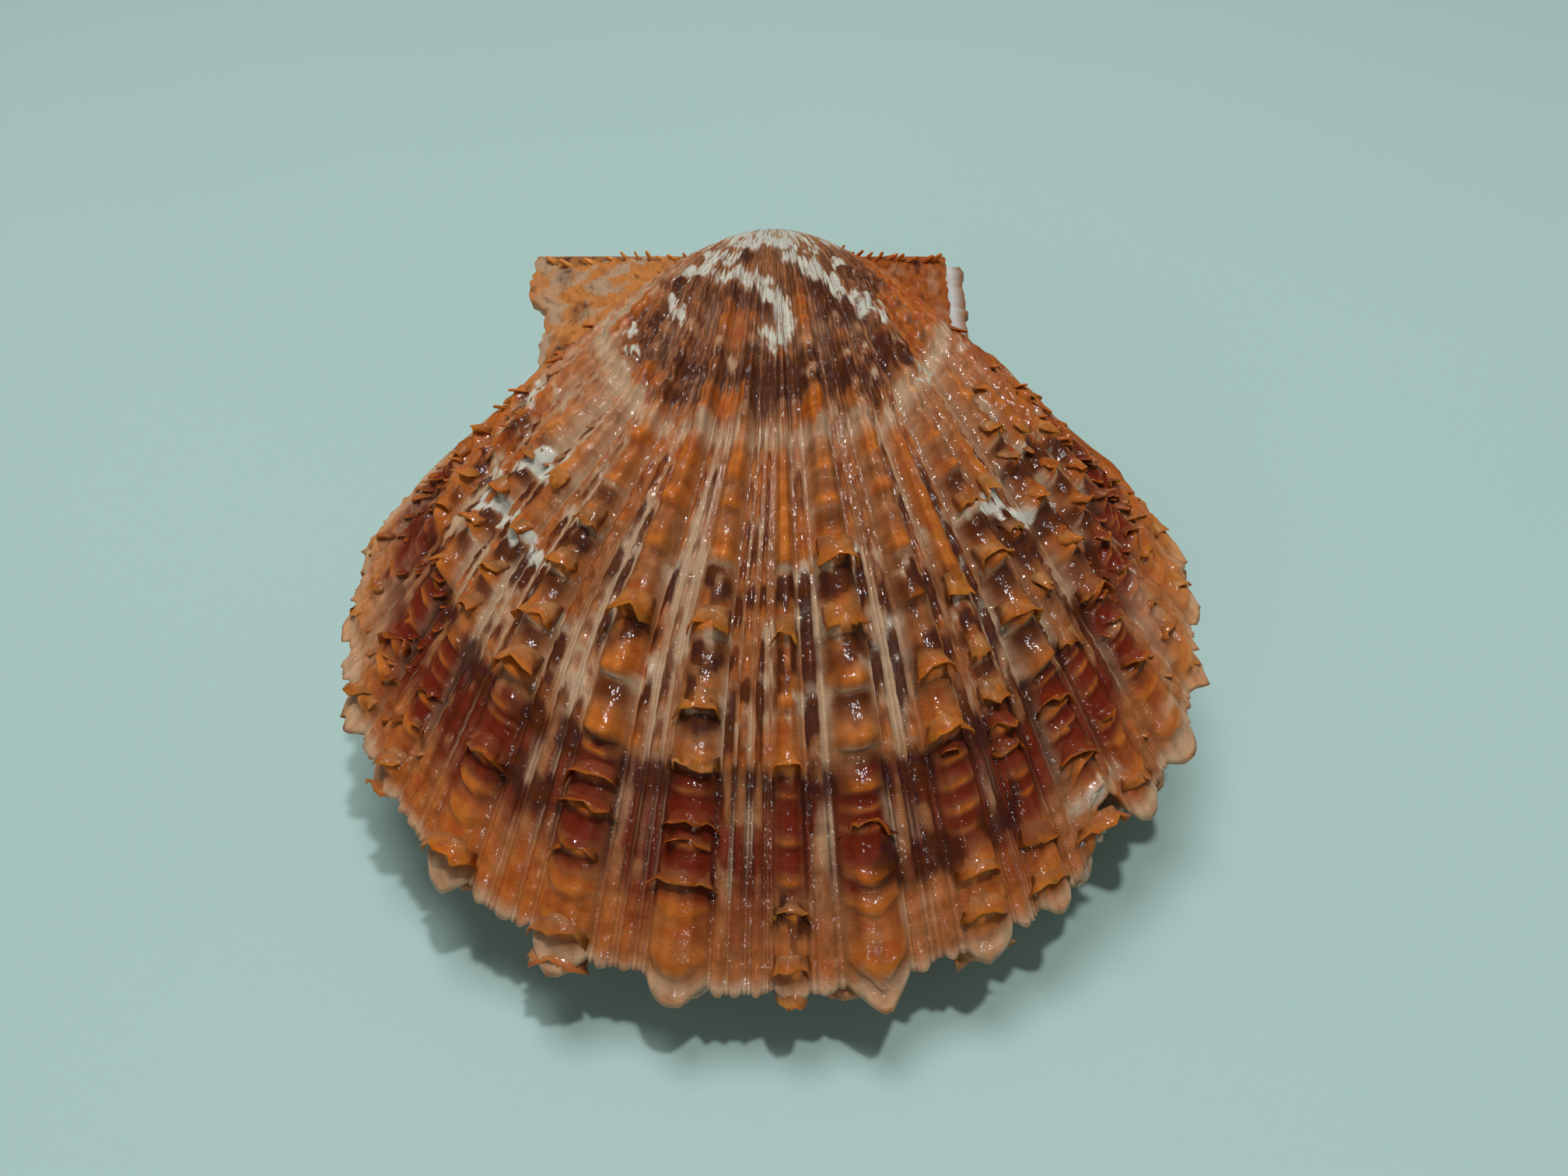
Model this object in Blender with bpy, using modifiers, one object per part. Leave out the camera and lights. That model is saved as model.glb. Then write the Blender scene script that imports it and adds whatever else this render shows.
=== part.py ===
"""Scallop shell: a closed pair of ribbed, scaly valves held by a thin hinge ligament.

Each valve is the solid under a growth surface, less its hollow. Every growth line is a smaller
copy of the margin, turned about the hinge line; a ray is the path of one point of the margin
through growth. Growth runs from 0 at the beak to 1 at the margin.
The shell lies on its lower valve, beaks at +Y, margin at -Y, upper valve at +Z. Metres.
"""

from math import cos, degrees, pi, radians, sin, tanh

import bmesh
import bpy
from mathutils import Matrix, Vector

# Driving dimensions, metres.
SHELL_HEIGHT = 0.0740       # hinge line to the far margin
DISC_RADIUS = 0.0341        # round part of the disc
EDGE_CORNER = (0.0210, 0.0151)   # where a straight disc edge leaves the ear: sideways, from the hinge
EDGE_LEAN = radians(38.0)   # lean of the straight disc edges
EDGE_BLEND = 10             # how tightly the round margin turns into the straight edges
WALL = 0.0012
MEETING_GAP = 0.0003        # clearance between the two valves at the margin
EAR_SLOPE = 0.62            # slope of the ray where an ear ends, along over across
EAR_LIFT = 0.0012           # height of the ears' outer face above the meeting plane
EAR_START = radians(40.0)   # no ear reaches a ray nearer the middle than this
NOTCH_SPAN = (0.40, 0.62)   # where an ear's notch opens and ends, from its top edge 0 to its corner 1
FLAT_EAR = (radians(54.0), radians(68.0))   # rays over which the dome flattens into the ear
FLAT_EAR_SHARE = 0.5        # how much flatter the ear is than the dome
THIN_EDGE = (radians(48.0), radians(60.0))  # rays over which the thin disc margin thickens to the ear
THIN_EDGE_SHARE = 0.45      # how much thinner the disc margin is than the ear
THIN_EDGE_GROWS = (0.0, 0.4)    # growth over which that thin edge sets in

# Growth: how a young shell differed from the grown one.
YOUNG_WIDTH = 0.85          # width of the first growth lines against the last
YOUNG_EDGE = 0.45           # how far out the straight edges stood on the first growth lines
LAST_GROWTH = 1.020         # growth of the tabs in which the ribs end
MARGIN_GROWTH = 1.004       # growth of the margin between the tabs

# A chip in the upper valve's margin.
CHIP_RAY = radians(21.9)
CHIP_WIDTH = radians(2.6)
CHIP_DEPTH = 0.047          # in growth
CHIP_FLOOR = 0.35           # share of the chip's half width that is its flat floor

# Ribs and scales.
RIB_RISE = 0.0011
RIB_GROWS = (0.08, 0.6)     # growth over which the ribs reach their rise
SCALE_RISE = 0.0011
SCALE_GROWS = (0.35, 0.8)   # growth over which the scales reach theirs
SCALE_CURVE = 1.5           # above 1 a scale turns up towards its lip
CREST = 1.1                 # half width of a rib's crest, degrees
FOOT = 2.1                  # half width of a rib's foot, degrees
WIDE_HOLLOW = 1.6           # a hollow wider than this, degrees, has a floor between the two feet
LIP_BACK = 0.004            # growth from a scale row's lip back to its mesh row
LIP_FOOT = 0.006            # growth from a scale row's lip on to the foot of the next scale
LIP_PAST_MARGIN = 1.05      # growth at which the scales of the margin would have had their lips
STAGGER = 0.008             # how far a rib's scale rows lie off the common rows, in growth
STAGGER_TURN = 2.4          # phase of that from one rib to the next, radians
STAGGER_FROM = (0.37, 0.50) # growth over which it sets in
STAGGER_TO = (0.93, 1.0)    # growth over which it ends, at the margin
EAR_RIB_RISE = 0.0004
EAR_RIB_GROWS = (0.1, 0.5)

# The ligament: a strip behind the hinge line and a pad that reaches in between the beaks.
LIGAMENT_LEFT = -0.0205
LIGAMENT_RIGHT = 0.0150
LIGAMENT_DEPTH = 0.0005
LIGAMENT_HEIGHT = 0.0012
PAD_WIDTH = 0.0030
PAD_REACH = 0.0030
PAD_HEIGHT = 0.0006
PIT_WIDTH = 0.0038          # the pit in each valve that holds half the pad
PIT_REACH = 0.0034
PIT_HEIGHT = 0.00070

# The shell at rest: it lies on the lower valve with its far margin down.
REST_TILT = radians(13.1)

UPPER = {
    "turn_rate": 0.57,      # how fast growth lines turn about the hinge: larger is deeper
    "turn_power": 0.05,     # near 0 a round back, 1 a back that is straight towards the margin
    "beak_turn": 1.40,      # turn of the first growth lines, radians
    "size": 1.0,
    "relief": 1.0,
    "crowded_from": 0.80,   # growth past which every rib carries a scale on every row
    "chipped": True,
    "left_ear": 0.0235,
    "right_ear": 0.0168,
    "left_notch": 0.08,
    "right_notch": 0.0,
    # rib angle in degrees from the middle of the disc, and strength
    "ribs": [(-43.5, 0.5), (-38.0, 0.6), (-32.0, 0.8), (-26.8, 0.7), (-20.0, 1.0), (-11.9, 1.1),
             (-5.1, 0.9), (1.2, 0.7), (6.0, 1.2), (12.6, 0.9), (17.0, 0.6), (21.4, 1.1),
             (25.3, 0.6), (30.0, 0.9), (35.0, 0.7), (39.5, 0.6), (44.0, 0.5)],
    "scale_rows": [0.50, 0.555, 0.61, 0.66, 0.71, 0.755, 0.80, 0.83, 0.855, 0.88, 0.91, 0.95],
    "plain_rows": [0.0, 0.05, 0.11, 0.19, 0.28, 0.37],
}
LOWER = {
    "turn_rate": 0.41,
    "turn_power": 1.0,
    "beak_turn": 1.35,
    "size": 0.985,          # it closes just inside the upper valve
    "relief": 0.65,
    "crowded_from": 0.0,
    "chipped": False,
    "left_ear": 0.0190,     # seen from its own outer side
    "right_ear": 0.0228,
    "left_notch": 0.0,
    "right_notch": 0.32,
    "ribs": [(-41.5, 0.6), (-34.5, 0.8), (-27.0, 0.9), (-19.3, 0.9), (-12.0, 1.0), (-4.6, 1.0),
             (4.6, 1.0), (12.0, 1.0), (19.3, 0.9), (27.0, 0.9), (34.5, 0.8), (41.5, 0.6)],
    "scale_rows": [0.60, 0.72, 0.82, 0.90, 0.96],
    "plain_rows": [0.0, 0.06, 0.14, 0.25, 0.38, 0.50],
}
EAR_RAYS = [48.5, 52.0, 56.0, 60.0, 66.0, 72.0, 78.0, 84.0, 90.0]
EAR_RIBS = (66.0, 78.0)
HOLLOW_RAYS = [-42.0, -36.0, -29.0, -22.0, -14.0, -5.0, 5.0, 14.0, 22.0, 29.0, 36.0, 42.0]
HOLLOW_GROWTHS = [0.30, 0.36, 0.44, 0.54, 0.66, 0.80, 0.90, 0.97]
SKIRT_DEPTH = 0.006         # how far the closed solids reach below the meeting plane before the cut

COLLECTION = "scallop_shell"


def smooth_step(low, high, value):
    """0 below low, 1 above high, smooth between."""
    part = min(max((value - low) / (high - low), 0.0), 1.0)
    return part * part * (3.0 - 2.0 * part)


def disc_reach(ray, growth):
    """Hinge to margin of the disc along a ray: a circle trimmed by two straight edges."""
    centre = SHELL_HEIGHT - DISC_RADIUS
    side = abs(ray)
    under_root = DISC_RADIUS ** 2 - (centre * sin(side)) ** 2
    circle = centre * cos(side) + max(under_root, 0.0) ** 0.5
    across, along = cos(EDGE_LEAN), -sin(EDGE_LEAN)
    offset = EDGE_CORNER[0] * across + EDGE_CORNER[1] * along
    offset *= YOUNG_EDGE + (1.0 - YOUNG_EDGE) * growth
    facing = across * sin(side) + along * cos(side)
    if facing < 0.001:
        return circle
    edge = offset / facing
    return (circle ** -EDGE_BLEND + edge ** -EDGE_BLEND) ** (-1.0 / EDGE_BLEND)


def ear_reach(ray, valve):
    """Hinge to the free edge of the ear along a ray, with its notch below the corner."""
    side = abs(ray)
    if side < EAR_START:
        return 0.0
    length = valve["left_ear"] if ray < 0 else valve["right_ear"]
    notch = valve["left_notch"] if ray < 0 else valve["right_notch"]
    down = min(cos(side) / sin(side) / EAR_SLOPE, 1.0)
    return length * (1.0 - notch * smooth_step(*NOTCH_SPAN, down)) / sin(side)


def turn_at(growth, ray, valve):
    """Angle between a growth line's plane and the meeting plane."""
    if growth <= 0.0:
        turn = valve["beak_turn"]
    else:
        power = valve["turn_power"]
        free_turn = valve["turn_rate"] * (growth ** -power - 1.0) / power
        turn = valve["beak_turn"] * tanh(free_turn / valve["beak_turn"])
    return turn * (1.0 - FLAT_EAR_SHARE * smooth_step(*FLAT_EAR, abs(ray)))


def valve_point(ray, growth, valve):
    """Outer surface of a valve, hinge line on X, margin towards -Y, outside towards +Z."""
    reach = max(disc_reach(ray, growth), ear_reach(ray, valve)) * valve["size"]
    width = YOUNG_WIDTH + (1.0 - YOUNG_WIDTH) * growth
    turn = turn_at(growth, ray, valve)
    from_hinge = growth * reach * cos(ray)
    thin_edge = (1.0 - smooth_step(*THIN_EDGE, abs(ray))) * smooth_step(*THIN_EDGE_GROWS, growth)
    lift = EAR_LIFT * (1.0 - THIN_EDGE_SHARE * thin_edge)
    return Vector((
        growth * reach * sin(ray) * width,
        -from_hinge * cos(turn),
        from_hinge * sin(turn) + lift,
    ))


def rays_of(valve):
    """Ray angles of the mesh columns: crest edges and feet of the ribs, and the ears."""
    ribs = [angle for angle, _ in valve["ribs"]]
    columns = []
    for index, angle in enumerate(ribs):
        columns += [angle - CREST, angle + CREST]
        if index + 1 < len(ribs):
            feet = (angle + FOOT, ribs[index + 1] - FOOT)
            if feet[1] - feet[0] > WIDE_HOLLOW:
                columns += feet
            else:
                columns.append(sum(feet) / 2.0)
    ears = [-angle for angle in reversed(EAR_RAYS)]
    return [radians(angle) for angle in ears + columns + EAR_RAYS]


def growths_of(valve):
    """Growth of the mesh rows: a scale row is a lip and, just past it, its foot."""
    rows = list(valve["plain_rows"])
    for lip in valve["scale_rows"]:
        rows += [lip - LIP_BACK, lip + LIP_FOOT]
    rows.append(LAST_GROWTH)
    return rows


def scale_lift(rib, growth, valve):
    """0 at a scale's foot, 1 at its lip. Young shells carry a scale on every other row."""
    rows = [valve["plain_rows"][-1]]
    rows += [lip for index, lip in enumerate(valve["scale_rows"])
             if lip > valve["crowded_from"] or (index + rib) % 2]
    rows.append(LIP_PAST_MARGIN)
    for behind, lip in zip(rows, rows[1:]):
        if behind < growth <= lip:
            return (growth - behind) / (lip - behind)
    return 0.0


def crest_of(ray, valve):
    """Number of the rib along whose crest a ray runs, or None beside the ribs."""
    for index, (rib, _) in enumerate(valve["ribs"]):
        if abs(degrees(ray) - rib) < CREST + 0.01:
            return index
    return None


def relief(ray, growth, valve):
    """Height of ribs and scale lips above the plain surface."""
    if min(abs(abs(degrees(ray)) - rib) for rib in EAR_RIBS) < 0.01:
        return EAR_RIB_RISE * smooth_step(*EAR_RIB_GROWS, growth)
    index = crest_of(ray, valve)
    if index is None:
        return 0.0
    height = RIB_RISE * smooth_step(*RIB_GROWS, growth)
    lip = scale_lift(index, growth, valve) ** SCALE_CURVE
    height += SCALE_RISE * lip * smooth_step(*SCALE_GROWS, growth)
    return valve["ribs"][index][1] * height * valve["relief"]


def laid_growth(ray, growth, valve):
    """Growth at which a row crosses a ray: staggered from rib to rib, and ended at the margin.

    The margin is short between the ribs' tabs, and shorter where it is chipped.
    """
    index = crest_of(ray, valve)
    if index is None:
        end = MARGIN_GROWTH
    else:
        end = LAST_GROWTH
        staggered = smooth_step(*STAGGER_FROM, growth) * (1.0 - smooth_step(*STAGGER_TO, growth))
        growth += STAGGER * sin(STAGGER_TURN * index) * staggered
    if valve["chipped"]:
        end -= CHIP_DEPTH * (1.0 - smooth_step(CHIP_FLOOR, 1.0, abs(ray - CHIP_RAY) / CHIP_WIDTH))
    return min(growth, end)


def outward(ray, growth, valve):
    """Unit normal of the plain surface."""
    step = 0.002
    ray = min(max(ray, radians(-90.0) + step), radians(90.0) - step)
    growth = max(growth, 2.0 * step)
    across = valve_point(ray + step, growth, valve) - valve_point(ray - step, growth, valve)
    along = valve_point(ray, growth + step, valve) - valve_point(ray, growth - step, valve)
    return along.cross(across).normalized()


def evaluated_mesh(thing):
    """Plain mesh of an object with its modifiers applied."""
    graph = bpy.context.evaluated_depsgraph_get()
    return bpy.data.meshes.new_from_object(thing.evaluated_get(graph))


def block(name, low, high):
    """Box between two corners, with its size in its mesh."""
    size = [top - bottom for bottom, top in zip(low, high)]
    middle = [(top + bottom) / 2.0 for bottom, top in zip(low, high)]
    bpy.ops.mesh.primitive_cube_add(size=1.0)
    box = bpy.context.object
    box.name = name
    box.data.transform(Matrix.Translation(middle) @ Matrix.Diagonal((*size, 1.0)))
    return box


def growth_plug(name, rays, growths, valve, rise, lay):
    """Closed solid under a growth surface, which stands rise(ray, growth) above the plain one.

    lay(ray, growth) gives the growth at which that point of the surface lies.
    """
    bpy.ops.mesh.primitive_grid_add(
        x_subdivisions=len(rays) - 1, y_subdivisions=len(growths) - 1, size=2.0)
    plug = bpy.context.object
    plug.name = name
    for vertex in plug.data.vertices:
        ray = rays[round((vertex.co.x + 1.0) / 2.0 * (len(rays) - 1))]
        growth = growths[round((1.0 - vertex.co.y) / 2.0 * (len(growths) - 1))]
        laid = lay(ray, growth)
        vertex.co = valve_point(ray, laid, valve) + outward(ray, laid, valve) * rise(ray, growth)
    shape = bmesh.new()
    shape.from_mesh(plug.data)
    bmesh.ops.remove_doubles(shape, verts=shape.verts, dist=1e-6)
    edge = [item for item in shape.edges if item.is_boundary]
    skirt = bmesh.ops.extrude_edge_only(shape, edges=edge)["geom"]
    for item in skirt:
        if isinstance(item, bmesh.types.BMVert):
            item.co.z = -SKIRT_DEPTH
    hem = [item for item in shape.edges if item.is_boundary]
    bmesh.ops.holes_fill(shape, edges=hem, sides=0)
    bmesh.ops.recalc_face_normals(shape, faces=shape.faces)
    shape.to_mesh(plug.data)
    shape.free()
    return plug


def take_away(thing, cutters):
    """Cut closed solids out of a thing and drop them."""
    for cutter in cutters:
        cut = thing.modifiers.new(cutter.name, "BOOLEAN")
        cut.operation = "DIFFERENCE"
        cut.solver = "EXACT"
        cut.object = cutter
    solid = evaluated_mesh(thing)
    thing.modifiers.clear()
    thing.data = solid
    for cutter in cutters:
        bpy.data.objects.remove(cutter)


def make_valve(name, valve):
    """One valve in its own frame: its outside, less its hollow, cut flat on the meeting plane."""
    outside = growth_plug(
        name, rays_of(valve), growths_of(valve), valve,
        lambda ray, growth: relief(ray, growth, valve),
        lambda ray, growth: laid_growth(ray, growth, valve))
    hollow = growth_plug(
        "hollow", [radians(angle) for angle in HOLLOW_RAYS], HOLLOW_GROWTHS, valve,
        lambda ray, growth: -WALL,
        lambda ray, growth: growth)
    wide = 2.0 * SHELL_HEIGHT
    below = block("below", (-wide, -wide, -wide), (wide, wide, MEETING_GAP / 2.0))
    pit = block(
        "pit", (-PIT_WIDTH / 2.0, -PIT_REACH, -wide), (PIT_WIDTH / 2.0, wide, PIT_HEIGHT))
    take_away(outside, [hollow, below, pit])
    return outside


def make_ligament():
    """Strip along the hinge with rounded edges, and the pad fused to it."""
    back = MEETING_GAP
    strip = block(
        "hinge_ligament",
        (LIGAMENT_LEFT, back, -LIGAMENT_HEIGHT / 2.0),
        (LIGAMENT_RIGHT, back + LIGAMENT_DEPTH, LIGAMENT_HEIGHT / 2.0))
    round_edges = strip.modifiers.new("round_edges", "BEVEL")
    round_edges.width = LIGAMENT_DEPTH * 0.3
    round_edges.segments = 2
    pad = block(
        "ligament_pad",
        (-PAD_WIDTH / 2.0, -PAD_REACH, -PAD_HEIGHT / 2.0),
        (PAD_WIDTH / 2.0, back + LIGAMENT_DEPTH / 2.0, PAD_HEIGHT / 2.0))
    join = strip.modifiers.new("pad", "BOOLEAN")
    join.operation = "UNION"
    join.solver = "EXACT"
    join.object = pad
    solid = evaluated_mesh(strip)
    strip.modifiers.clear()
    strip.data = solid
    bpy.data.objects.remove(pad)
    return strip


def finish(thing, name, colour, roughness):
    """A material of the piece's own."""
    material = bpy.data.materials.new(name)
    material.use_nodes = True
    shader = material.node_tree.nodes["Principled BSDF"]
    shader.inputs["Base Color"].default_value = (*colour, 1.0)
    shader.inputs["Roughness"].default_value = roughness
    shader.inputs["Metallic"].default_value = 0.0
    thing.data.materials.clear()
    thing.data.materials.append(material)


def lay_down(pieces, collection):
    """Tilt the shell to its rest and stand it on z = 0 with its box centred on the origin."""
    bpy.context.view_layer.update()
    tilt = Matrix.Rotation(REST_TILT, 4, "X")
    corners = [tilt @ piece.matrix_world @ vertex.co
               for piece in pieces for vertex in piece.data.vertices]
    low = [min(corner[axis] for corner in corners) for axis in range(3)]
    high = [max(corner[axis] for corner in corners) for axis in range(3)]
    pose = bpy.data.objects.new("rest_pose", None)
    collection.objects.link(pose)
    pose.rotation_euler = (REST_TILT, 0.0, 0.0)
    pose.location = (-(low[0] + high[0]) / 2.0, -(low[1] + high[1]) / 2.0, -low[2])
    for piece in pieces:
        piece.parent = pose


def main():
    for thing in list(bpy.data.objects):
        bpy.data.objects.remove(thing)
    collection = bpy.data.collections.new(COLLECTION)
    bpy.context.scene.collection.children.link(collection)

    upper = make_valve("upper_valve", UPPER)
    lower = make_valve("lower_valve", LOWER)
    lower.rotation_euler = (0.0, pi, 0.0)
    ligament = make_ligament()

    finish(upper, "orange_shell", (0.42, 0.13, 0.04), 0.4)
    finish(lower, "pale_shell", (0.60, 0.38, 0.22), 0.5)
    finish(ligament, "dried_ligament", (0.06, 0.04, 0.03), 0.6)

    pieces = [upper, lower, ligament]
    for piece in pieces:
        for holder in list(piece.users_collection):
            holder.objects.unlink(piece)
        collection.objects.link(piece)
    lay_down(pieces, collection)


main()
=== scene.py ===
"""Scallop shell: the finished surfaces of a closed pair of scaly valves.

Each valve is grown again here at a fine grain, on the plan of the solids and from the place of
their hinge: a growth line is a smaller copy of the margin turned about the hinge, and a ray is the
path of one point of the margin. Ribs, riblets and scale lips are raised on that surface,
free-standing scales are set along the ribs, and the colours follow the same rays and growth lines.
Metres, +Z up; growth runs from 0 at the beak to 1 at the margin.
"""

from math import cos, pi, radians, sin
from types import SimpleNamespace

import bpy
import numpy as np
from mathutils import Matrix, Vector


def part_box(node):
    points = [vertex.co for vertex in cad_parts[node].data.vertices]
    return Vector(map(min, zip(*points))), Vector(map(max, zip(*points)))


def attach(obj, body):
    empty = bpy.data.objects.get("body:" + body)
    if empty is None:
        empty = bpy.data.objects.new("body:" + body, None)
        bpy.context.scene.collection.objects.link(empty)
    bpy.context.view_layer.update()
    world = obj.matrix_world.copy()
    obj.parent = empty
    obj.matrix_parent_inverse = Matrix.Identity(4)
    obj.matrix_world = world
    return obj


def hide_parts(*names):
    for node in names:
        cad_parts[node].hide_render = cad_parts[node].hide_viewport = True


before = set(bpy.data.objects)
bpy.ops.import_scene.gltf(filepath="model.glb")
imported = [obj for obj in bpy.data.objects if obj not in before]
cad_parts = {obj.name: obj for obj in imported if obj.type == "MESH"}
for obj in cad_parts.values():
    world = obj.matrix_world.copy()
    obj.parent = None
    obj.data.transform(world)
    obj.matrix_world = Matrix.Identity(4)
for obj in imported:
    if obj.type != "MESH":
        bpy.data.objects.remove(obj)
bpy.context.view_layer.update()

# The plan of the shell, as in the solids.
SHELL_HEIGHT = 0.0740
DISC_RADIUS = 0.0341
EDGE_CORNER = (0.0210, 0.0151)
EDGE_LEAN = radians(38.0)
SHOULDER_POWER = 10         # how sharply the trimmed edges meet the disc's circle
MEETING_GAP = 0.0003
EAR_ROOT = radians(40.0)    # the ears begin under the disc's edge
EAR_SLOPE = 0.62
EAR_LIFT = 0.0012
NOTCH_SPAN = (0.40, 0.62)   # share of the way down an ear's edge over which its notch cuts in
FLAT_EAR = 0.5              # share of the dome's turn that the ears don't take
THIN_RIM = 0.45             # share of the ears' lift that the disc doesn't take
YOUNG_WIDTH = 0.85
YOUNG_EDGE = 0.45
REST_TILT = radians(13.1)
LIGAMENT_LEFT = -0.0205
LIGAMENT_RIGHT = 0.0150
PAD_REACH = 0.0030
PAD_HEIGHT = 0.0006

# Relief of the finished surface.
RIB_RISE = 0.0011
SCALE_RISE = 0.0010
RIBLET_RISE = 0.00024
THREAD_WIDTH = 0.27         # degrees across a thread, the finest riblet
THREAD_BOLD = 0.55          # height of a thread against RIBLET_RISE
SMALL_RIB_WIDTH = 0.85      # degrees across a small rib between the threads
SMALL_RIB_BOLD = 1.40
SMALL_RIB_ARCH = 0.010
BEAD_RISE = 0.00045         # round beads on the young ribs
BEAD_PITCH = 0.030          # growth from bead to bead
THREADS_ON_RIB = 4
RIB_MIDDLE = 2.0            # degrees: the rib line that stays straight
RIB_GATHER = (0.26, 0.11)   # how far the young ribs left and right of it lie together
THREAD_SHAPE = (0.0, 1.0)   # height of a riblet at its mesh columns, groove first
SMALL_RIB_SHAPE = (0.0, 0.8, 1.0, 0.8)
PLAIN = {"up": 1.0, "luck": 0.5, "small": 0.0}      # a riblet of no kind in particular
EAR_RIBS = (54.0, 61.0, 68.0, 75.0, 82.0)
EAR_RIB_RISE = 0.00035
EAR_RIB_HALF = 2.6          # degrees
EAR_GRAIN = 0.00050
FLANK_GRAIN = 0.00055
LAMELLA_RISE = 0.00005
LAMELLAE = 60.0             # fine growth lines from beak to margin
SWELL_RISE = 0.0004
CHECK_STEP = 0.00022        # step down at a pause in growth
DEGREES_PER_UV = 200.0      # degrees of ray across one unit of the ray map
EAR_EDGE = 48.0             # degrees: where the disc ends and the ear begins
MOTTLE_SIDE = 95.0          # degrees of noise to each side
MOTTLE_GROWTH = 1.2         # growth that the noise covers

# Mesh of one valve.
EAR_COLUMNS = 36
GROWTH_ROWS = 176
ROW_POWER = 0.9             # rows lie closer together towards the margin
INNER_EVERY = 13            # the inner face has one row for so many outer ones
MARGIN_HOLD = 10.0          # power of growth with which the rows bend towards the margin's tabs
RIM_WALL = 0.00025          # least height of the outer face above the meeting plane
RIM_STEP = 0.006            # growth by which the inner face stays inside the margin
INNER_DOME = 0.96           # height of the hollow against the dome

# Growth of the scale lips on a rib, before each rib's own chance.
SCALE_GROWTHS = [0.50, 0.56, 0.60, 0.645, 0.705, 0.765, 0.815, 0.836, 0.857, 0.88, 0.905, 0.935,
                 0.97, 0.996]
LIP_JITTER = 0.009
FIRST_LIP = 0.30
PAST_MARGIN = 1.06

# Turn rate and power: how fast growth lines turn from the margin back; beak turn: the most, radians.
UPPER = {
    "turn_rate": 0.57,
    "turn_power": 0.05,
    "beak_turn": 1.40,
    "size": 1.0,
    "relief": 1.0,
    "seed": 11,
    "left_ear": 0.0235,
    "right_ear": 0.0168,
    "left_notch": 0.08,
    "right_notch": 0.0,
    "chip": (21.9, 2.5, 0.047),     # degrees, half width in degrees, depth in growth
    # Rib line and half width in degrees, with the rib's strength between them.
    "ribs": [(-43.5, 0.5, 1.3), (-38.0, 0.6, 1.4), (-32.0, 0.8, 1.6), (-26.8, 0.7, 1.5),
             (-20.0, 1.0, 1.7), (-11.9, 1.1, 1.75), (-5.1, 0.9, 1.7), (1.2, 0.7, 1.0),
             (6.0, 1.2, 1.8), (12.6, 0.9, 1.5), (17.0, 0.6, 1.15), (21.4, 1.1, 1.7),
             (25.3, 0.6, 1.3), (30.0, 0.9, 1.7), (35.0, 0.7, 1.5), (39.5, 0.6, 1.3),
             (44.0, 0.5, 1.2)],
}
LOWER = {
    "turn_rate": 0.41,
    "turn_power": 1.0,
    "beak_turn": 1.35,
    "size": 0.985,
    "relief": 0.65,
    "seed": 29,
    "left_ear": 0.0190,
    "right_ear": 0.0228,
    "left_notch": 0.0,
    "right_notch": 0.32,
    "chip": None,
    "ribs": [(-41.5, 0.6, 1.4), (-34.5, 0.8, 1.6), (-27.0, 0.9, 1.6), (-19.3, 0.9, 1.6),
             (-12.0, 1.0, 1.7), (-4.6, 1.0, 1.7), (4.6, 1.0, 1.7), (12.0, 1.0, 1.7),
             (19.3, 0.9, 1.6), (27.0, 0.9, 1.6), (34.5, 0.8, 1.6), (41.5, 0.6, 1.4)],
}


# ---------------------------------------------------------------- growth surface

def smooth_step(low, high, value):
    """0 below low, 1 above high, smooth between."""
    part = np.clip((value - low) / (high - low), 0.0, 1.0)
    return part * part * (3.0 - 2.0 * part)


def disc_reach(ray, growth):
    """Hinge to margin of the disc along a ray: a circle trimmed by two straight edges."""
    side = np.abs(ray)
    centre = SHELL_HEIGHT - DISC_RADIUS
    under_root = np.maximum(DISC_RADIUS ** 2 - (centre * np.sin(side)) ** 2, 0.0)
    circle = np.maximum(centre * np.cos(side) + np.sqrt(under_root), 1e-6)
    across, along = cos(EDGE_LEAN), -sin(EDGE_LEAN)
    offset = EDGE_CORNER[0] * across + EDGE_CORNER[1] * along
    offset = offset * (YOUNG_EDGE + (1.0 - YOUNG_EDGE) * growth)
    facing = across * np.sin(side) + along * np.cos(side)
    edge = offset / np.maximum(facing, 0.001)
    trimmed = (circle ** -SHOULDER_POWER + edge ** -SHOULDER_POWER) ** (-1.0 / SHOULDER_POWER)
    return np.where(facing < 0.001, circle, trimmed)


def ear_reach(ray, valve):
    """Hinge to the free edge of the ear along a ray, with its notch below the corner."""
    side = np.maximum(np.abs(ray), EAR_ROOT)
    length = np.where(ray < 0, valve["left_ear"], valve["right_ear"])
    notch = np.where(ray < 0, valve["left_notch"], valve["right_notch"])
    down = np.minimum(np.cos(side) / np.sin(side) / EAR_SLOPE, 1.0)
    reach = length * (1.0 - notch * smooth_step(*NOTCH_SPAN, down)) / np.sin(side)
    return np.where(np.abs(ray) < EAR_ROOT, 0.0, reach)


def turn_at(growth, ray, valve):
    """Angle between a growth line's plane and the meeting plane; the ears turn less."""
    power = valve["turn_power"]
    free_turn = valve["turn_rate"] * (np.maximum(growth, 1e-6) ** -power - 1.0) / power
    turn = valve["beak_turn"] * np.tanh(free_turn / valve["beak_turn"])
    return turn * (1.0 - FLAT_EAR * smooth_step(radians(54.0), radians(68.0), np.abs(ray)))


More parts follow.
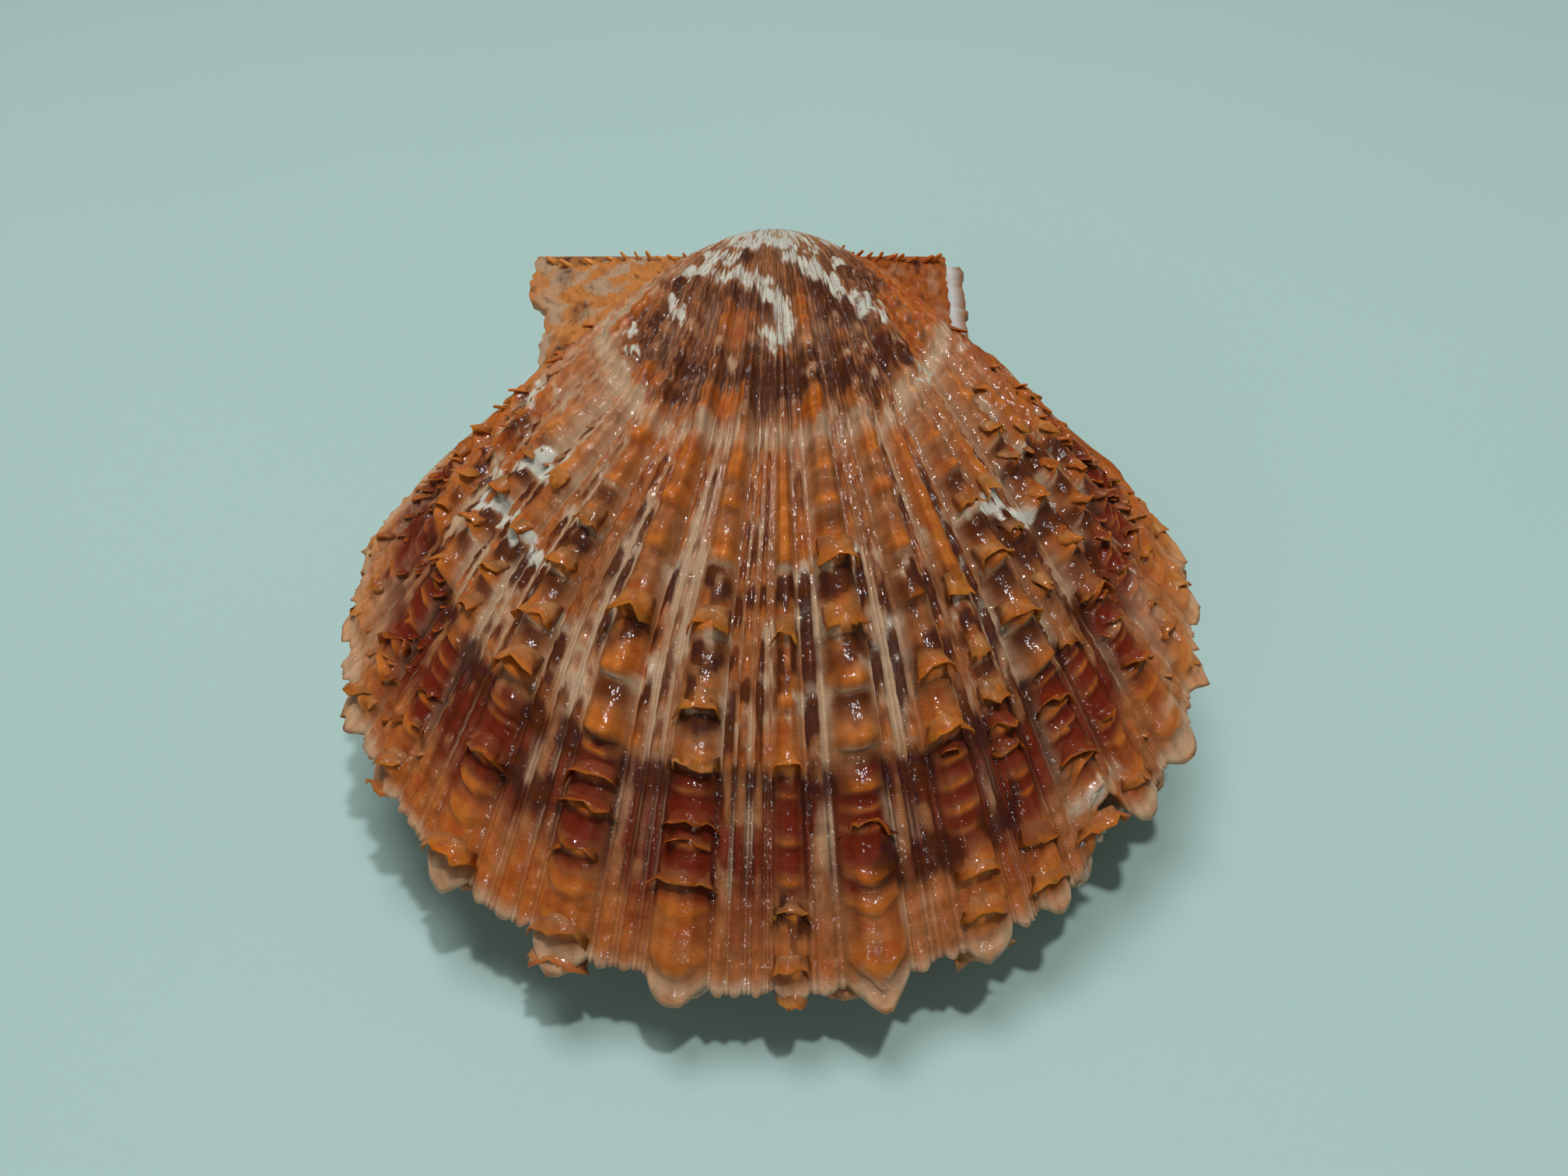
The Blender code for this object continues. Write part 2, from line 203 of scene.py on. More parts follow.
def valve_point(ray, growth, valve):
    """Plain outer surface: hinge line on X, margin towards -Y, outside towards +Z."""
    reach = np.maximum(disc_reach(ray, growth), ear_reach(ray, valve)) * valve["size"]
    width = YOUNG_WIDTH + (1.0 - YOUNG_WIDTH) * growth
    turn = turn_at(growth, ray, valve)
    from_hinge = growth * reach * np.cos(ray)
    on_disc = 1.0 - smooth_step(radians(48.0), radians(60.0), np.abs(ray))
    lift = EAR_LIFT * (1.0 - THIN_RIM * on_disc * smooth_step(0.0, 0.4, growth))
    return np.stack([
        growth * reach * np.sin(ray) * width,
        -from_hinge * np.cos(turn),
        from_hinge * np.sin(turn) + lift,
    ], axis=-1)


def outwards(ray, growth, valve):
    """Unit vectors straight out of the plain surface."""
    step = 0.002
    ray = np.clip(ray, step - pi / 2, pi / 2 - step)
    growth = np.maximum(growth, 2.0 * step)
    across = valve_point(ray + step, growth, valve) - valve_point(ray - step, growth, valve)
    along = valve_point(ray, growth + step, valve) - valve_point(ray, growth - step, valve)
    out = np.cross(along, across)
    return out / np.linalg.norm(out, axis=-1, keepdims=True)


def mottle(angle, growth, per_degree, per_growth, seed):
    """Smooth seeded noise between 0 and 1, with so many cells to a degree and to a whole growth."""
    x = (np.asarray(angle) + MOTTLE_SIDE) * per_degree
    y = np.asarray(growth) * per_growth + 1.0
    columns = int(2.0 * MOTTLE_SIDE * per_degree) + 3
    rows = int(MOTTLE_GROWTH * per_growth) + 4
    table = np.random.default_rng(seed).random((columns, rows))
    left, low = np.floor(x).astype(int), np.floor(y).astype(int)
    across, up = smooth_step(0.0, 1.0, x - left), smooth_step(0.0, 1.0, y - low)
    near = table[left, low] * (1 - up) + table[left, low + 1] * up
    far = table[left + 1, low] * (1 - up) + table[left + 1, low + 1] * up
    return near * (1 - across) + far * across


# ---------------------------------------------------------------- ribs and scales

def rib_angle(angle, growth):
    """Angle at the margin of the rib line that passes a point: ribs spread a little as they grow."""
    inner = 1.0 - smooth_step(20.0, 44.0, np.abs(angle))
    gather = np.where(angle < RIB_MIDDLE, *RIB_GATHER) * (1.0 - smooth_step(0.44, 0.76, growth))
    return RIB_MIDDLE + (angle - RIB_MIDDLE) / (1.0 - gather * inner)


def rib_bearing(margin_angle, growth):
    """Ray on which a rib line lies at a growth: the reverse of rib_angle, by repeated trial."""
    angle = margin_angle
    for _ in range(12):
        angle = angle + (margin_angle - rib_angle(angle, growth)) * 0.7
    return angle


def scale_growths(valve, index):
    """Growth of the scale lips on one rib; weak ribs begin later, and no two ribs agree."""
    own = np.random.default_rng(valve["seed"] * 100 + index)
    strength = valve["ribs"][index][1]
    lips = []
    for growth in SCALE_GROWTHS:
        growth += own.uniform(-LIP_JITTER, LIP_JITTER) * (growth < 0.98)
        if growth > 0.86 - 0.36 * strength:
            lips.append(growth)
    return np.array([FIRST_LIP] + lips + [PAST_MARGIN])


def riblet_columns(valve):
    """Rib lines of the mesh columns on the disc, with each one's height, luck and kind of riblet."""
    own = np.random.default_rng(valve["seed"])
    lines, up, luck, small = [], [], [], []

    def side_by_side(low, high, kinds):
        """Riblets of uneven width between two rib lines: True for a small rib, False for a thread."""
        widths = np.array([SMALL_RIB_WIDTH if kind else THREAD_WIDTH for kind in kinds])
        widths = widths * own.uniform(0.70, 1.30, len(kinds))
        cuts = low + (high - low) * np.concatenate([[0.0], np.cumsum(widths)]) / widths.sum()
        for kind, start, end in zip(kinds, cuts, cuts[1:]):
            shape = SMALL_RIB_SHAPE if kind else THREAD_SHAPE
            chance = own.random()
            for step, level in enumerate(shape):
                lines.append(start + (end - start) * step / len(shape))
                up.append(level * (SMALL_RIB_BOLD if kind else THREAD_BOLD))
                luck.append(chance)
                small.append(float(kind))

    def furrow(low, high):
        """Small ribs with one to three threads between them."""
        number = round((high - low) / (SMALL_RIB_WIDTH + 2.0 * THREAD_WIDTH))
        kinds = [False]
        for _ in range(number):
            kinds += [True] + [False] * int(own.integers(1, 4))
        side_by_side(low, high, kinds)

    edge = -EAR_EDGE
    for rib, _, half in valve["ribs"]:
        furrow(edge, rib - half)
        side_by_side(rib - half, rib + half, [False] * THREADS_ON_RIB)
        edge = rib + half
    furrow(edge, EAR_EDGE)
    return np.array(lines + [EAR_EDGE]), {
        "up": np.array(up + [0.0]), "luck": np.array(luck + [0.5]), "small": np.array(small + [0.0])}


def rib_bead(growth, ribs):
    """Round beads of the young ribs: 1 on each bead, 0 between."""
    return np.abs(np.sin(growth * pi / BEAD_PITCH + ribs["rib"]))


def arched(growth, ribs):
    """Growth with the arch that the crest of each small rib lends to what crosses it."""
    return growth + SMALL_RIB_ARCH * ribs["small"] * ribs["up"] / SMALL_RIB_BOLD


def bead_phase(growth, ribs):
    """How far along its own little scale a riblet is, from 0 to 1."""
    return (arched(growth, ribs) * (24.0 + 16.0 * ribs["luck"]) + 7.0 * ribs["luck"]) % 1.0


def columns_of(valve):
    """All mesh columns: the disc's riblets and the plainer ears."""
    ear = np.linspace(EAR_EDGE, 90.0, EAR_COLUMNS + 1)[1:]
    lines, riblet = riblet_columns(valve)
    for key, plain in (("up", 0.0), ("luck", 0.5), ("small", 0.0)):
        side = np.full(EAR_COLUMNS, plain)
        riblet[key] = np.concatenate([side, riblet[key], side])
    return np.concatenate([-ear[::-1], lines, ear]), riblet


def margin_growth(line, height, strength, valve):
    """Growth of the margin, with a tab at each rib and broader, more ragged flanks."""
    disc = 1.0 - smooth_step(EAR_EDGE - 4.0, EAR_EDGE, np.abs(line))
    level = np.zeros_like(line)
    ragged = 0.010 * (mottle(line, level, 0.9, 1.0, valve["seed"] + 7) - 0.5)
    jagged = 0.016 * (mottle(line, level, 2.2, 1.0, valve["seed"] + 8) - 0.5)
    jagged = jagged * smooth_step(24.0, 36.0, np.abs(line))
    broad = 0.013 * smooth_step(22.0, 36.0, np.abs(line))
    return 1.0 + (0.018 * height ** 2 * strength - 0.004 + broad) * disc + ragged + jagged


def on_ribs(line, growth, valve, riblet=PLAIN):
    """How far up a rib a point is, how far along its scale, and the rib's and scale's numbers."""
    ribs, force, half = np.array(valve["ribs"]).T
    nearest = np.searchsorted((ribs[1:] + ribs[:-1]) / 2.0, line)
    strength = force[nearest]
    offset = (line - ribs[nearest]) / half[nearest]
    height = np.clip(1.0 - np.abs(offset) ** 2.6, 0.0, 1.0) ** 0.75
    end = 1.0 + (margin_growth(line, height, strength, valve) - 1.0) * growth ** MARGIN_HOLD
    phase = np.zeros_like(line)
    length = np.ones_like(line)
    scale = np.zeros(line.shape, int)
    for index in range(len(ribs)):
        mine = nearest == index
        lips = scale_growths(valve, index)
        place = growth[mine] / end[mine]
        number = np.clip(np.searchsorted(lips, place), 1, len(lips) - 1)
        length[mine] = lips[number] - lips[number - 1]
        phase[mine] = np.clip((place - lips[number - 1]) / length[mine], 0.0, 1.0)
        scale[mine] = number
    return {"line": line, "height": height, "strength": strength, "phase": phase, "end": end,
            "length": length, "rib": nearest, "scale": scale, **riblet}


def rib_relief(growth, valve, ribs):
    """Ribs with the lips of their scales, lower again at the very margin."""
    rise = RIB_RISE * smooth_step(0.06, 0.6, growth) * ribs["strength"]
    long_scale = np.clip(ribs["length"] / 0.05, 0.35, 1.0)
    lip = SCALE_RISE * ribs["phase"] ** 1.7 * smooth_step(0.40, 0.80, growth) * long_scale
    lip *= 0.70 + 0.60 * mottle(ribs["line"], growth, 1.3, 30.0, valve["seed"] + 9)
    low_end = 1.0 - 0.35 * smooth_step(0.965, 1.0, growth)
    return (rise + lip * ribs["strength"]) * ribs["height"] * low_end * valve["relief"]


def bead_relief(growth, ribs):
    """Round beads on the ribs of the young shell."""
    young = smooth_step(0.22, 0.34, growth) * (1.0 - smooth_step(0.60, 0.70, growth))
    return BEAD_RISE * rib_bead(growth, ribs) * ribs["height"] * ribs["strength"] * young


def riblet_relief(growth, ribs):
    """Small ribs and threads, each a string of little scales, fainter on the grown ribs."""
    beads = 0.40 + 1.05 * bead_phase(growth, ribs) ** 2
    riblets = RIBLET_RISE * ribs["up"] * beads * smooth_step(0.08, 0.40, growth)
    adult = smooth_step(0.30, 0.58, growth)
    return riblets * (1.0 - 0.70 * adult * ribs["height"])


def flank_relief(angle, growth, valve, ribs):
    """Granular surface of both flanks."""
    flank = smooth_step(22.0, 36.0, np.abs(angle)) * smooth_step(0.52, 0.66, growth)
    return FLANK_GRAIN * (mottle(ribs["line"], growth, 1.1, 46.0, valve["seed"] + 4) - 0.5) * flank


def ear_rib_relief(angle, growth):
    """Saw-toothed ribs of the ears."""
    rise = np.zeros_like(growth)
    for rib in EAR_RIBS:
        arch = np.clip(1.0 - (np.abs(np.abs(angle) - rib) / EAR_RIB_HALF) ** 2, 0.0, 1.0)
        saw = (growth * 17.0 + rib * 0.37) % 1.0
        rise += EAR_RIB_RISE * arch * (0.5 + 0.9 * saw ** 2) * smooth_step(0.1, 0.5, growth)
    return rise


def growth_relief(angle, growth, valve):
    """Fine lamellae and a broad, slow swell."""
    waver = 6.0 * mottle(angle, growth, 0.1, 12.0, 5)
    lamella = LAMELLA_RISE * np.sin(growth * 2.0 * pi * LAMELLAE + waver)
    swell = SWELL_RISE * (mottle(angle, growth, 0.06, 7.0, valve["seed"] + 3) - 0.5)
    return lamella + swell


def check_relief(angle, growth):
    """Step down at each of the two pauses in growth."""
    return CHECK_STEP * (smooth_step(-0.006, 0.0, growth - first_check(angle))
                         + smooth_step(-0.006, 0.0, growth - second_check(angle)))


def relief(angle, growth, valve, ribs):
    """Height of the finished surface above the plain one."""
    disc = 1.0 - smooth_step(EAR_EDGE - 2.0, EAR_EDGE, np.abs(angle))
    past_beak = smooth_step(0.1, 0.4, growth)
    height = rib_relief(growth, valve, ribs) * disc
    height += bead_relief(growth, ribs) * disc
    height += riblet_relief(growth, ribs) * disc
    height += flank_relief(angle, growth, valve, ribs) * disc
    height += ear_rib_relief(angle, growth)
    rough_ear = EAR_GRAIN * (mottle(angle, growth, 0.8, 60.0, valve["seed"] + 1) - 0.4)
    height += rough_ear * (1.0 - disc) * past_beak
    return height + growth_relief(angle, growth, valve) * past_beak - check_relief(angle, growth) * disc


def first_check(angle):
    """Growth of the first pause in growth, a pale ring."""
    return 0.515 - 0.055 * smooth_step(10.0, 34.0, np.abs(angle))


def second_check(angle):
    """Growth of the second pause, where the dark band starts."""
    return 0.822 - 0.035 * smooth_step(18.0, 42.0, angle)


def last_growth(line, riblet, valve):
    """Growth of the finished margin: tabs, fine teeth between them, and the chip."""
    ribs = on_ribs(line, np.ones_like(line), valve)
    teeth = 0.004 * (riblet["up"] - 0.5) * riblet["luck"] * (1.0 - ribs["height"])
    end = ribs["end"] + teeth * (np.abs(line) < EAR_EDGE - 2.0)
    if valve["chip"]:
        middle, half, depth = valve["chip"]
        deep = 1.0 - smooth_step(0.35, 1.0, np.abs(line - middle) / half)
        end = end - (depth + end - 1.0) * deep
    return end


# ---------------------------------------------------------------- colour masks

# Strokes: from one ray and growth to another, half width in metres.
WHITE_STROKES = [
    ((-12.5, 0.213), (-7.5, 0.223), 0.0010), ((-22.0, 0.252), (-16.0, 0.262), 0.0007),
    ((-18.0, 0.264), (-13.0, 0.262), 0.0012), ((-27.0, 0.312), (-22.0, 0.306), 0.0006),
    ((-22.0, 0.302), (-18.5, 0.292), 0.0010), ((-13.0, 0.305), (-8.0, 0.303), 0.0007),
    ((-8.0, 0.300), (-2.0, 0.312), 0.0010), ((-2.0, 0.325), (2.0, 0.345), 0.0007),
    ((2.0, 0.350), (2.5, 0.385), 0.0008), ((2.5, 0.390), (0.8, 0.408), 0.0008),
    ((-1.5, 0.385), (1.0, 0.400), 0.0005), ((-2.0, 0.200), (5.0, 0.222), 0.0010),
    ((5.5, 0.258), (10.0, 0.280), 0.0011), ((11.0, 0.295), (14.0, 0.322), 0.0010),
    ((14.5, 0.330), (17.0, 0.350), 0.0007), ((19.0, 0.375), (21.5, 0.385), 0.0010),
    ((11.0, 0.243), (15.0, 0.240), 0.0004), ((17.5, 0.275), (21.0, 0.300), 0.0004),
    ((-22.0, 0.365), (-18.0, 0.380), 0.0006), ((-30.5, 0.430), (-28.0, 0.425), 0.0006),
    ((-27.0, 0.452), (-23.0, 0.455), 0.0003), ((22.5, 0.485), (26.0, 0.492), 0.0003),
    ((22.5, 0.635), (24.5, 0.662), 0.0005), ((24.5, 0.662), (27.8, 0.698), 0.0006),
    ((-41.5, 0.632), (-37.0, 0.612), 0.0008), ((-31.0, 0.655), (-25.5, 0.622), 0.0008),
    ((-34.0, 0.735), (-28.5, 0.705), 0.0006), ((-28.0, 0.710), (-22.5, 0.703), 0.0005),
]
DARK_STROKES = [
    ((-12.0, 0.258), (-8.0, 0.260), 0.0009), ((-13.0, 0.330), (-5.0, 0.345), 0.0007),
    ((-2.0, 0.360), (0.0, 0.365), 0.0008), ((9.5, 0.300), (12.0, 0.345), 0.0013),
    ((11.0, 0.360), (17.0, 0.375), 0.0012), ((22.0, 0.320), (26.0, 0.330), 0.0012),
    ((-31.0, 0.330), (-23.0, 0.335), 0.0007), ((-31.0, 0.400), (-23.0, 0.405), 0.0009),
    ((-3.0, 0.450), (4.0, 0.452), 0.0014), ((-14.0, 0.450), (-10.0, 0.455), 0.0008),
    ((8.5, 0.455), (12.0, 0.460), 0.0010), ((-17.0, 0.483), (-13.5, 0.483), 0.0006),
    ((19.0, 0.445), (21.5, 0.450), 0.0012), ((-42.0, 0.665), (-35.0, 0.635), 0.0008),
    ((-33.0, 0.682), (-28.0, 0.665), 0.0007), ((-34.0, 0.758), (-29.0, 0.730), 0.0009),
    ((-28.5, 0.725), (-22.0, 0.725), 0.0010), ((-21.0, 0.668), (-18.0, 0.662), 0.0008),
    ((23.5, 0.680), (27.5, 0.728), 0.0010), ((28.0, 0.643), (33.0, 0.680), 0.0006),
    ((29.0, 0.710), (33.5, 0.757), 0.0006), ((33.0, 0.668), (38.0, 0.700), 0.0009),
    ((-42.0, 0.745), (-37.0, 0.730), 0.0004), ((11.0, 0.690), (14.5, 0.694), 0.0012),
    ((11.0, 0.748), (14.2, 0.750), 0.0008), ((16.0, 0.702), (18.0, 0.700), 0.0006),
    ((15.5, 0.745), (18.0, 0.743), 0.0006), ((-13.5, 0.730), (-10.2, 0.722), 0.0009),
    ((4.3, 0.732), (8.0, 0.728), 0.0011), ((4.5, 0.665), (7.8, 0.665), 0.0009),
    ((-5.0, 0.672), (-3.2, 0.668), 0.0006), ((-7.5, 0.745), (-3.2, 0.725), 0.0004),
    ((-6.5, 0.768), (-3.8, 0.768), 0.0009), ((0.8, 0.738), (2.2, 0.735), 0.0008),
    ((0.8, 0.675), (2.3, 0.670), 0.0007), ((-2.6, 0.680), (-0.4, 0.678), 0.0006),
    ((-2.4, 0.760), (0.3, 0.758), 0.0007), ((10.6, 0.665), (10.9, 0.700), 0.0004),
    ((7.0, 0.910), (11.0, 0.912), 0.0012), ((-18.0, 0.890), (-15.5, 0.892), 0.0009),
    ((0.7, 0.935), (1.8, 0.945), 0.0008), ((14.0, 0.910), (16.0, 0.905), 0.0009),
]
# Marks: rib line in degrees, growth, half width in each, strength.
CREAM_FURROWS = [
    (-29.6, 0.79, 0.8, 0.04, 0.60), (-24.4, 0.78, 1.2, 0.06, 0.70), (-15.3, 0.72, 1.5, 0.12, 0.80),
    (-8.3, 0.69, 1.3, 0.15, 0.90), (-3.2, 0.78, 0.4, 0.05, 0.60), (-1.6, 0.79, 0.5, 0.03, 0.50),
    (3.4, 0.75, 0.8, 0.09, 0.80), (9.3, 0.74, 1.2, 0.11, 0.85), (14.9, 0.62, 0.7, 0.10, 0.55),
    (19.0, 0.76, 0.7, 0.05, 0.60), (26.5, 0.78, 1.8, 0.03, 0.75), (23.5, 0.80, 0.6, 0.03, 0.50),
    (-35.5, 0.75, 1.2, 0.06, 0.80), (-39.0, 0.70, 2.5, 0.03, 0.60), (35.0, 0.78, 2.0, 0.03, 0.50),
    (38.5, 0.79, 0.8, 0.03, 0.60), (33.0, 0.575, 0.8, 0.015, 0.70), (35.6, 0.590, 0.8, 0.015, 0.60),
    (-9.6, 0.86, 0.5, 0.04, 0.60), (-8.1, 0.86, 0.4, 0.04, 0.50), (-16.7, 0.86, 0.6, 0.03, 0.60),
    (-1.4, 0.87, 0.5, 0.03, 0.60), (3.4, 0.87, 0.6, 0.03, 0.80), (7.8, 0.87, 0.7, 0.03, 0.65),
    (9.3, 0.87, 0.5, 0.03, 0.55), (14.7, 0.87, 0.5, 0.03, 0.55), (28.6, 0.87, 0.5, 0.02, 0.50),
    (-24.6, 0.84, 1.0, 0.02, 0.60), (-17.0, 0.94, 1.0, 0.03, 0.40), (-2.6, 0.91, 0.5, 0.02, 0.50),
    (3.0, 0.93, 0.6, 0.02, 0.50), (8.8, 0.95, 1.5, 0.02, 0.40), (29.0, 0.90, 1.0, 0.02, 0.30),
]
AMBER_MARKS = [
    (6.0, 0.360, 2.0, 0.040, 0.5), (6.0, 0.407, 1.6, 0.012, 1.0), (-8.0, 0.485, 3.0, 0.016, 0.9),
    (6.0, 0.490, 2.2, 0.016, 0.9), (-10.0, 0.390, 4.0, 0.030, 0.5), (12.0, 0.480, 2.0, 0.012, 0.5),
    (27.0, 0.480, 4.0, 0.020, 0.5), (-27.0, 0.470, 5.0, 0.020, 0.5), (27.5, 0.420, 2.0, 0.080, 0.6),
]
PALE_SPOTS = [
    (-9.0, 0.432, 1.4, 0.010, 0.9), (-12.5, 0.420, 1.2, 0.007, 0.6), (6.0, 0.452, 1.6, 0.006, 0.9),
    (13.0, 0.438, 1.2, 0.007, 0.8), (16.8, 0.434, 1.3, 0.004, 0.7), (16.8, 0.470, 1.1, 0.006, 0.7),
    (9.0, 0.485, 0.9, 0.008, 0.6), (12.2, 0.500, 1.2, 0.005, 0.6), (-20.0, 0.395, 2.0, 0.012, 0.5),
    (-15.5, 0.458, 1.8, 0.006, 0.6), (24.0, 0.425, 2.0, 0.010, 0.5), (24.5, 0.330, 1.5, 0.010, 0.3),
    (6.0, 0.703, 1.5, 0.008, 0.8), (-4.6, 0.706, 1.6, 0.008, 0.8), (-4.0, 0.760, 1.2, 0.007, 0.7),
    (-5.0, 0.650, 1.5, 0.006, 0.6), (4.9, 0.645, 1.2, 0.007, 0.7), (1.6, 0.768, 0.9, 0.006, 0.7),
    (1.4, 0.705, 0.8, 0.007, 0.6), (12.6, 0.668, 1.3, 0.005, 0.8), (6.8, 0.745, 0.8, 0.008, 0.7),
    (-7.2, 0.720, 0.7, 0.010, 0.9), (-9.4, 0.745, 0.6, 0.010, 0.8), (10.5, 0.645, 0.4, 0.012, 0.7),
    (16.6, 0.722, 1.1, 0.006, 0.9), (21.0, 0.655, 1.8, 0.006, 0.8), (17.4, 0.590, 0.6, 0.007, 0.6),
    (34.0, 0.655, 1.8, 0.006, 0.6), (29.5, 0.637, 1.6, 0.004, 0.5), (-20.0, 0.652, 1.8, 0.006, 0.6),
    (-23.0, 0.640, 1.6, 0.008, 0.6), (-15.0, 0.790, 1.0, 0.010, 0.6), (39.5, 0.505, 1.6, 0.010, 0.9),
    (41.5, 0.535, 1.4, 0.010, 0.8), (38.8, 0.680, 0.9, 0.006, 0.6), (-36.0, 0.570, 2.2, 0.006, 0.6),
    (29.8, 0.860, 1.0, 0.008, 0.5), (31.5, 0.962, 2.5, 0.010, 0.5), (-39.5, 0.560, 2.0, 0.010, 0.3),
    (21.9, 0.950, 2.6, 0.012, 0.9),
]
EAR_CREAM = [
    (-71.0, 0.955, 7.0, 0.045, 0.8), (-84.5, 0.600, 3.0, 0.060, 0.8), (-52.0, 0.660, 1.8, 0.150, 0.5),
    (78.0, 0.745, 4.5, 0.055, 0.7), (76.0, 0.930, 9.0, 0.035, 0.6), (57.0, 0.640, 3.0, 0.050, 0.5),
    (64.0, 0.950, 3.0, 0.040, 0.5), (-70.0, 0.760, 3.0, 0.030, 0.4),
]
EAR_DARK = [
    (-81.8, 0.880, 5.0, 0.035, 0.7), (-66.0, 0.870, 5.0, 0.040, 0.7), (-88.5, 0.820, 3.0, 0.140, 0.6),
    (-56.0, 0.930, 3.5, 0.050, 0.5), (-67.0, 0.780, 4.0, 0.020, 0.4), (85.0, 0.850, 6.0, 0.022, 0.9),
    (64.0, 0.865, 5.0, 0.020, 0.7), (-75.0, 0.450, 12.0, 0.060, 0.3),
]
# Rows of dark flecks with pale caps that cross the furrows: growth and how many riblets bear one.
FLECK_ROWS = [(0.565, 0.30), (0.605, 0.55), (0.650, 1.00), (0.708, 1.10), (0.756, 0.90),
              (0.795, 0.45)]
MASKS = ("amber", "warm", "ember", "stain", "cream", "white")


def on_strokes(angle, growth, strokes):
    """1 in the middle of the nearest stroke, 0 outside them all."""
    found = np.zeros_like(angle)
    for (ray_a, growth_a), (ray_b, growth_b), half in strokes:
        per_degree = radians(1.0) * (growth_a + growth_b) / 2.0 * SHELL_HEIGHT
        near = np.abs(growth - (growth_a + growth_b) / 2.0) < 0.08
        start = np.array([ray_a * per_degree, growth_a * SHELL_HEIGHT])
        run = np.array([ray_b * per_degree, growth_b * SHELL_HEIGHT]) - start
        place = np.stack([angle[near] * per_degree, growth[near] * SHELL_HEIGHT], axis=-1) - start
        share = np.clip(place @ run / (run @ run), 0.0, 1.0)
        away = np.linalg.norm(place - share[..., None] * run, axis=-1)
        found[near] = np.maximum(found[near], 1.0 - smooth_step(half * 0.5, half * 1.6, away))
    return found


def on_marks(line, growth, marks):
    """The strongest of several soft-edged oval marks."""
    found = np.zeros_like(growth)
    for ray, place, wide, long, strength in marks:
        away = np.hypot((line - ray) / wide, (growth - place) / long)
        found = np.maximum(found, strength * (1.0 - smooth_step(0.50, 1.40, away)))
    return found


def on_flecks(line, growth, ribs, seed):
    """Pale caps and dark flames of the fleck rows, which wander and skip from rib to rib."""
    cap = np.zeros_like(growth)
    dark = np.zeros_like(growth)
    level = np.zeros_like(growth)
    for number, (row, share) in enumerate(FLECK_ROWS):
        wander = 0.030 * (mottle(line, level, 0.40, 1.0, seed + number) - 0.5)
        past = arched(growth, ribs) - row - wander - 0.020 * (ribs["luck"] - 0.5)
        here = share * smooth_step(0.35, 0.60, mottle(line, level, 0.60, 1.0, seed + 20 + number))
        on_cap = smooth_step(-0.016, -0.006, past) * (1.0 - smooth_step(-0.002, 0.010, past))
        on_dark = smooth_step(-0.003, 0.008, past) * (1.0 - smooth_step(0.014, 0.048, past))
        cap = np.maximum(cap, here * on_cap)
        dark = np.maximum(dark, here * on_dark)
    return cap, dark


def upper_zones(angle, growth, ribs):
    """What the masks of the upper valve share: riblets, noise, sides and growth zones."""
    seed = UPPER["seed"]
    line = ribs["line"]
    at = SimpleNamespace(angle=angle, growth=growth, line=line, ribs=ribs, seed=seed)
    at.luck = ribs["luck"] + 0.0 * growth
    at.small = ribs["small"] + 0.0 * growth
    at.rib = ribs["height"] * smooth_step(0.42, 0.62, growth)
    at.furrow = 1.0 - at.rib
    at.thread = at.furrow * (1.0 - at.small)
    # Groove: 1 between riblets; the masks darken it there as painted shade in the grooves.
    at.groove = 1.0 - smooth_step(0.10, 0.70, ribs["up"] + 0.0 * growth)
    at.tip = smooth_step(0.45, 0.95, ribs["phase"]) * at.rib
    at.bead = bead_phase(growth, ribs)
    at.bead_root = 1.0 - smooth_step(0.06, 0.34, at.bead)
    at.bead_body = smooth_step(0.10, 0.30, at.bead) * (1.0 - smooth_step(0.45, 0.85, at.bead))

    at.streak = mottle(line, growth, 0.9, 14.0, seed + 2)
    at.fine = mottle(line, growth, 1.8, 34.0, seed + 6)
    at.patch = mottle(angle, growth, 0.20, 11.0, seed + 4)
    at.block = mottle(angle, growth, 0.30, 34.0, seed + 10)
    at.away = np.abs(angle)
    at.flank = smooth_step(26.0, 38.0, at.away)
    at.centre = 1.0 - smooth_step(10.0, 24.0, at.away)
    at.border = smooth_step(24.0, 34.0, at.away)
    at.left = (angle < 0.0) * 1.0

    wavy = 0.012 * (mottle(line, growth, 0.35, 4.0, seed + 5) - 0.5) + 0.010 * (at.luck - 0.5)
    at.past_first = growth - first_check(angle) + wavy
    at.past_second = growth - second_check(angle) + wavy
    at.young = 1.0 - smooth_step(-0.028, 0.000, at.past_first)
    at.old = smooth_step(-0.010, 0.010, at.past_second)
    at.middle = np.clip(1.0 - at.young - at.old, 0.0, 1.0)
    at.band = at.old * (1.0 - smooth_step(0.075, 0.125, at.past_second))
    at.outer = np.clip(at.old - at.band, 0.0, 1.0)
    at.small_rib = at.middle * at.small * at.furrow
    at.pearl = at.young * ribs["height"] * rib_bead(growth, ribs) ** 2 * smooth_step(0.33, 0.38, growth)
    return at


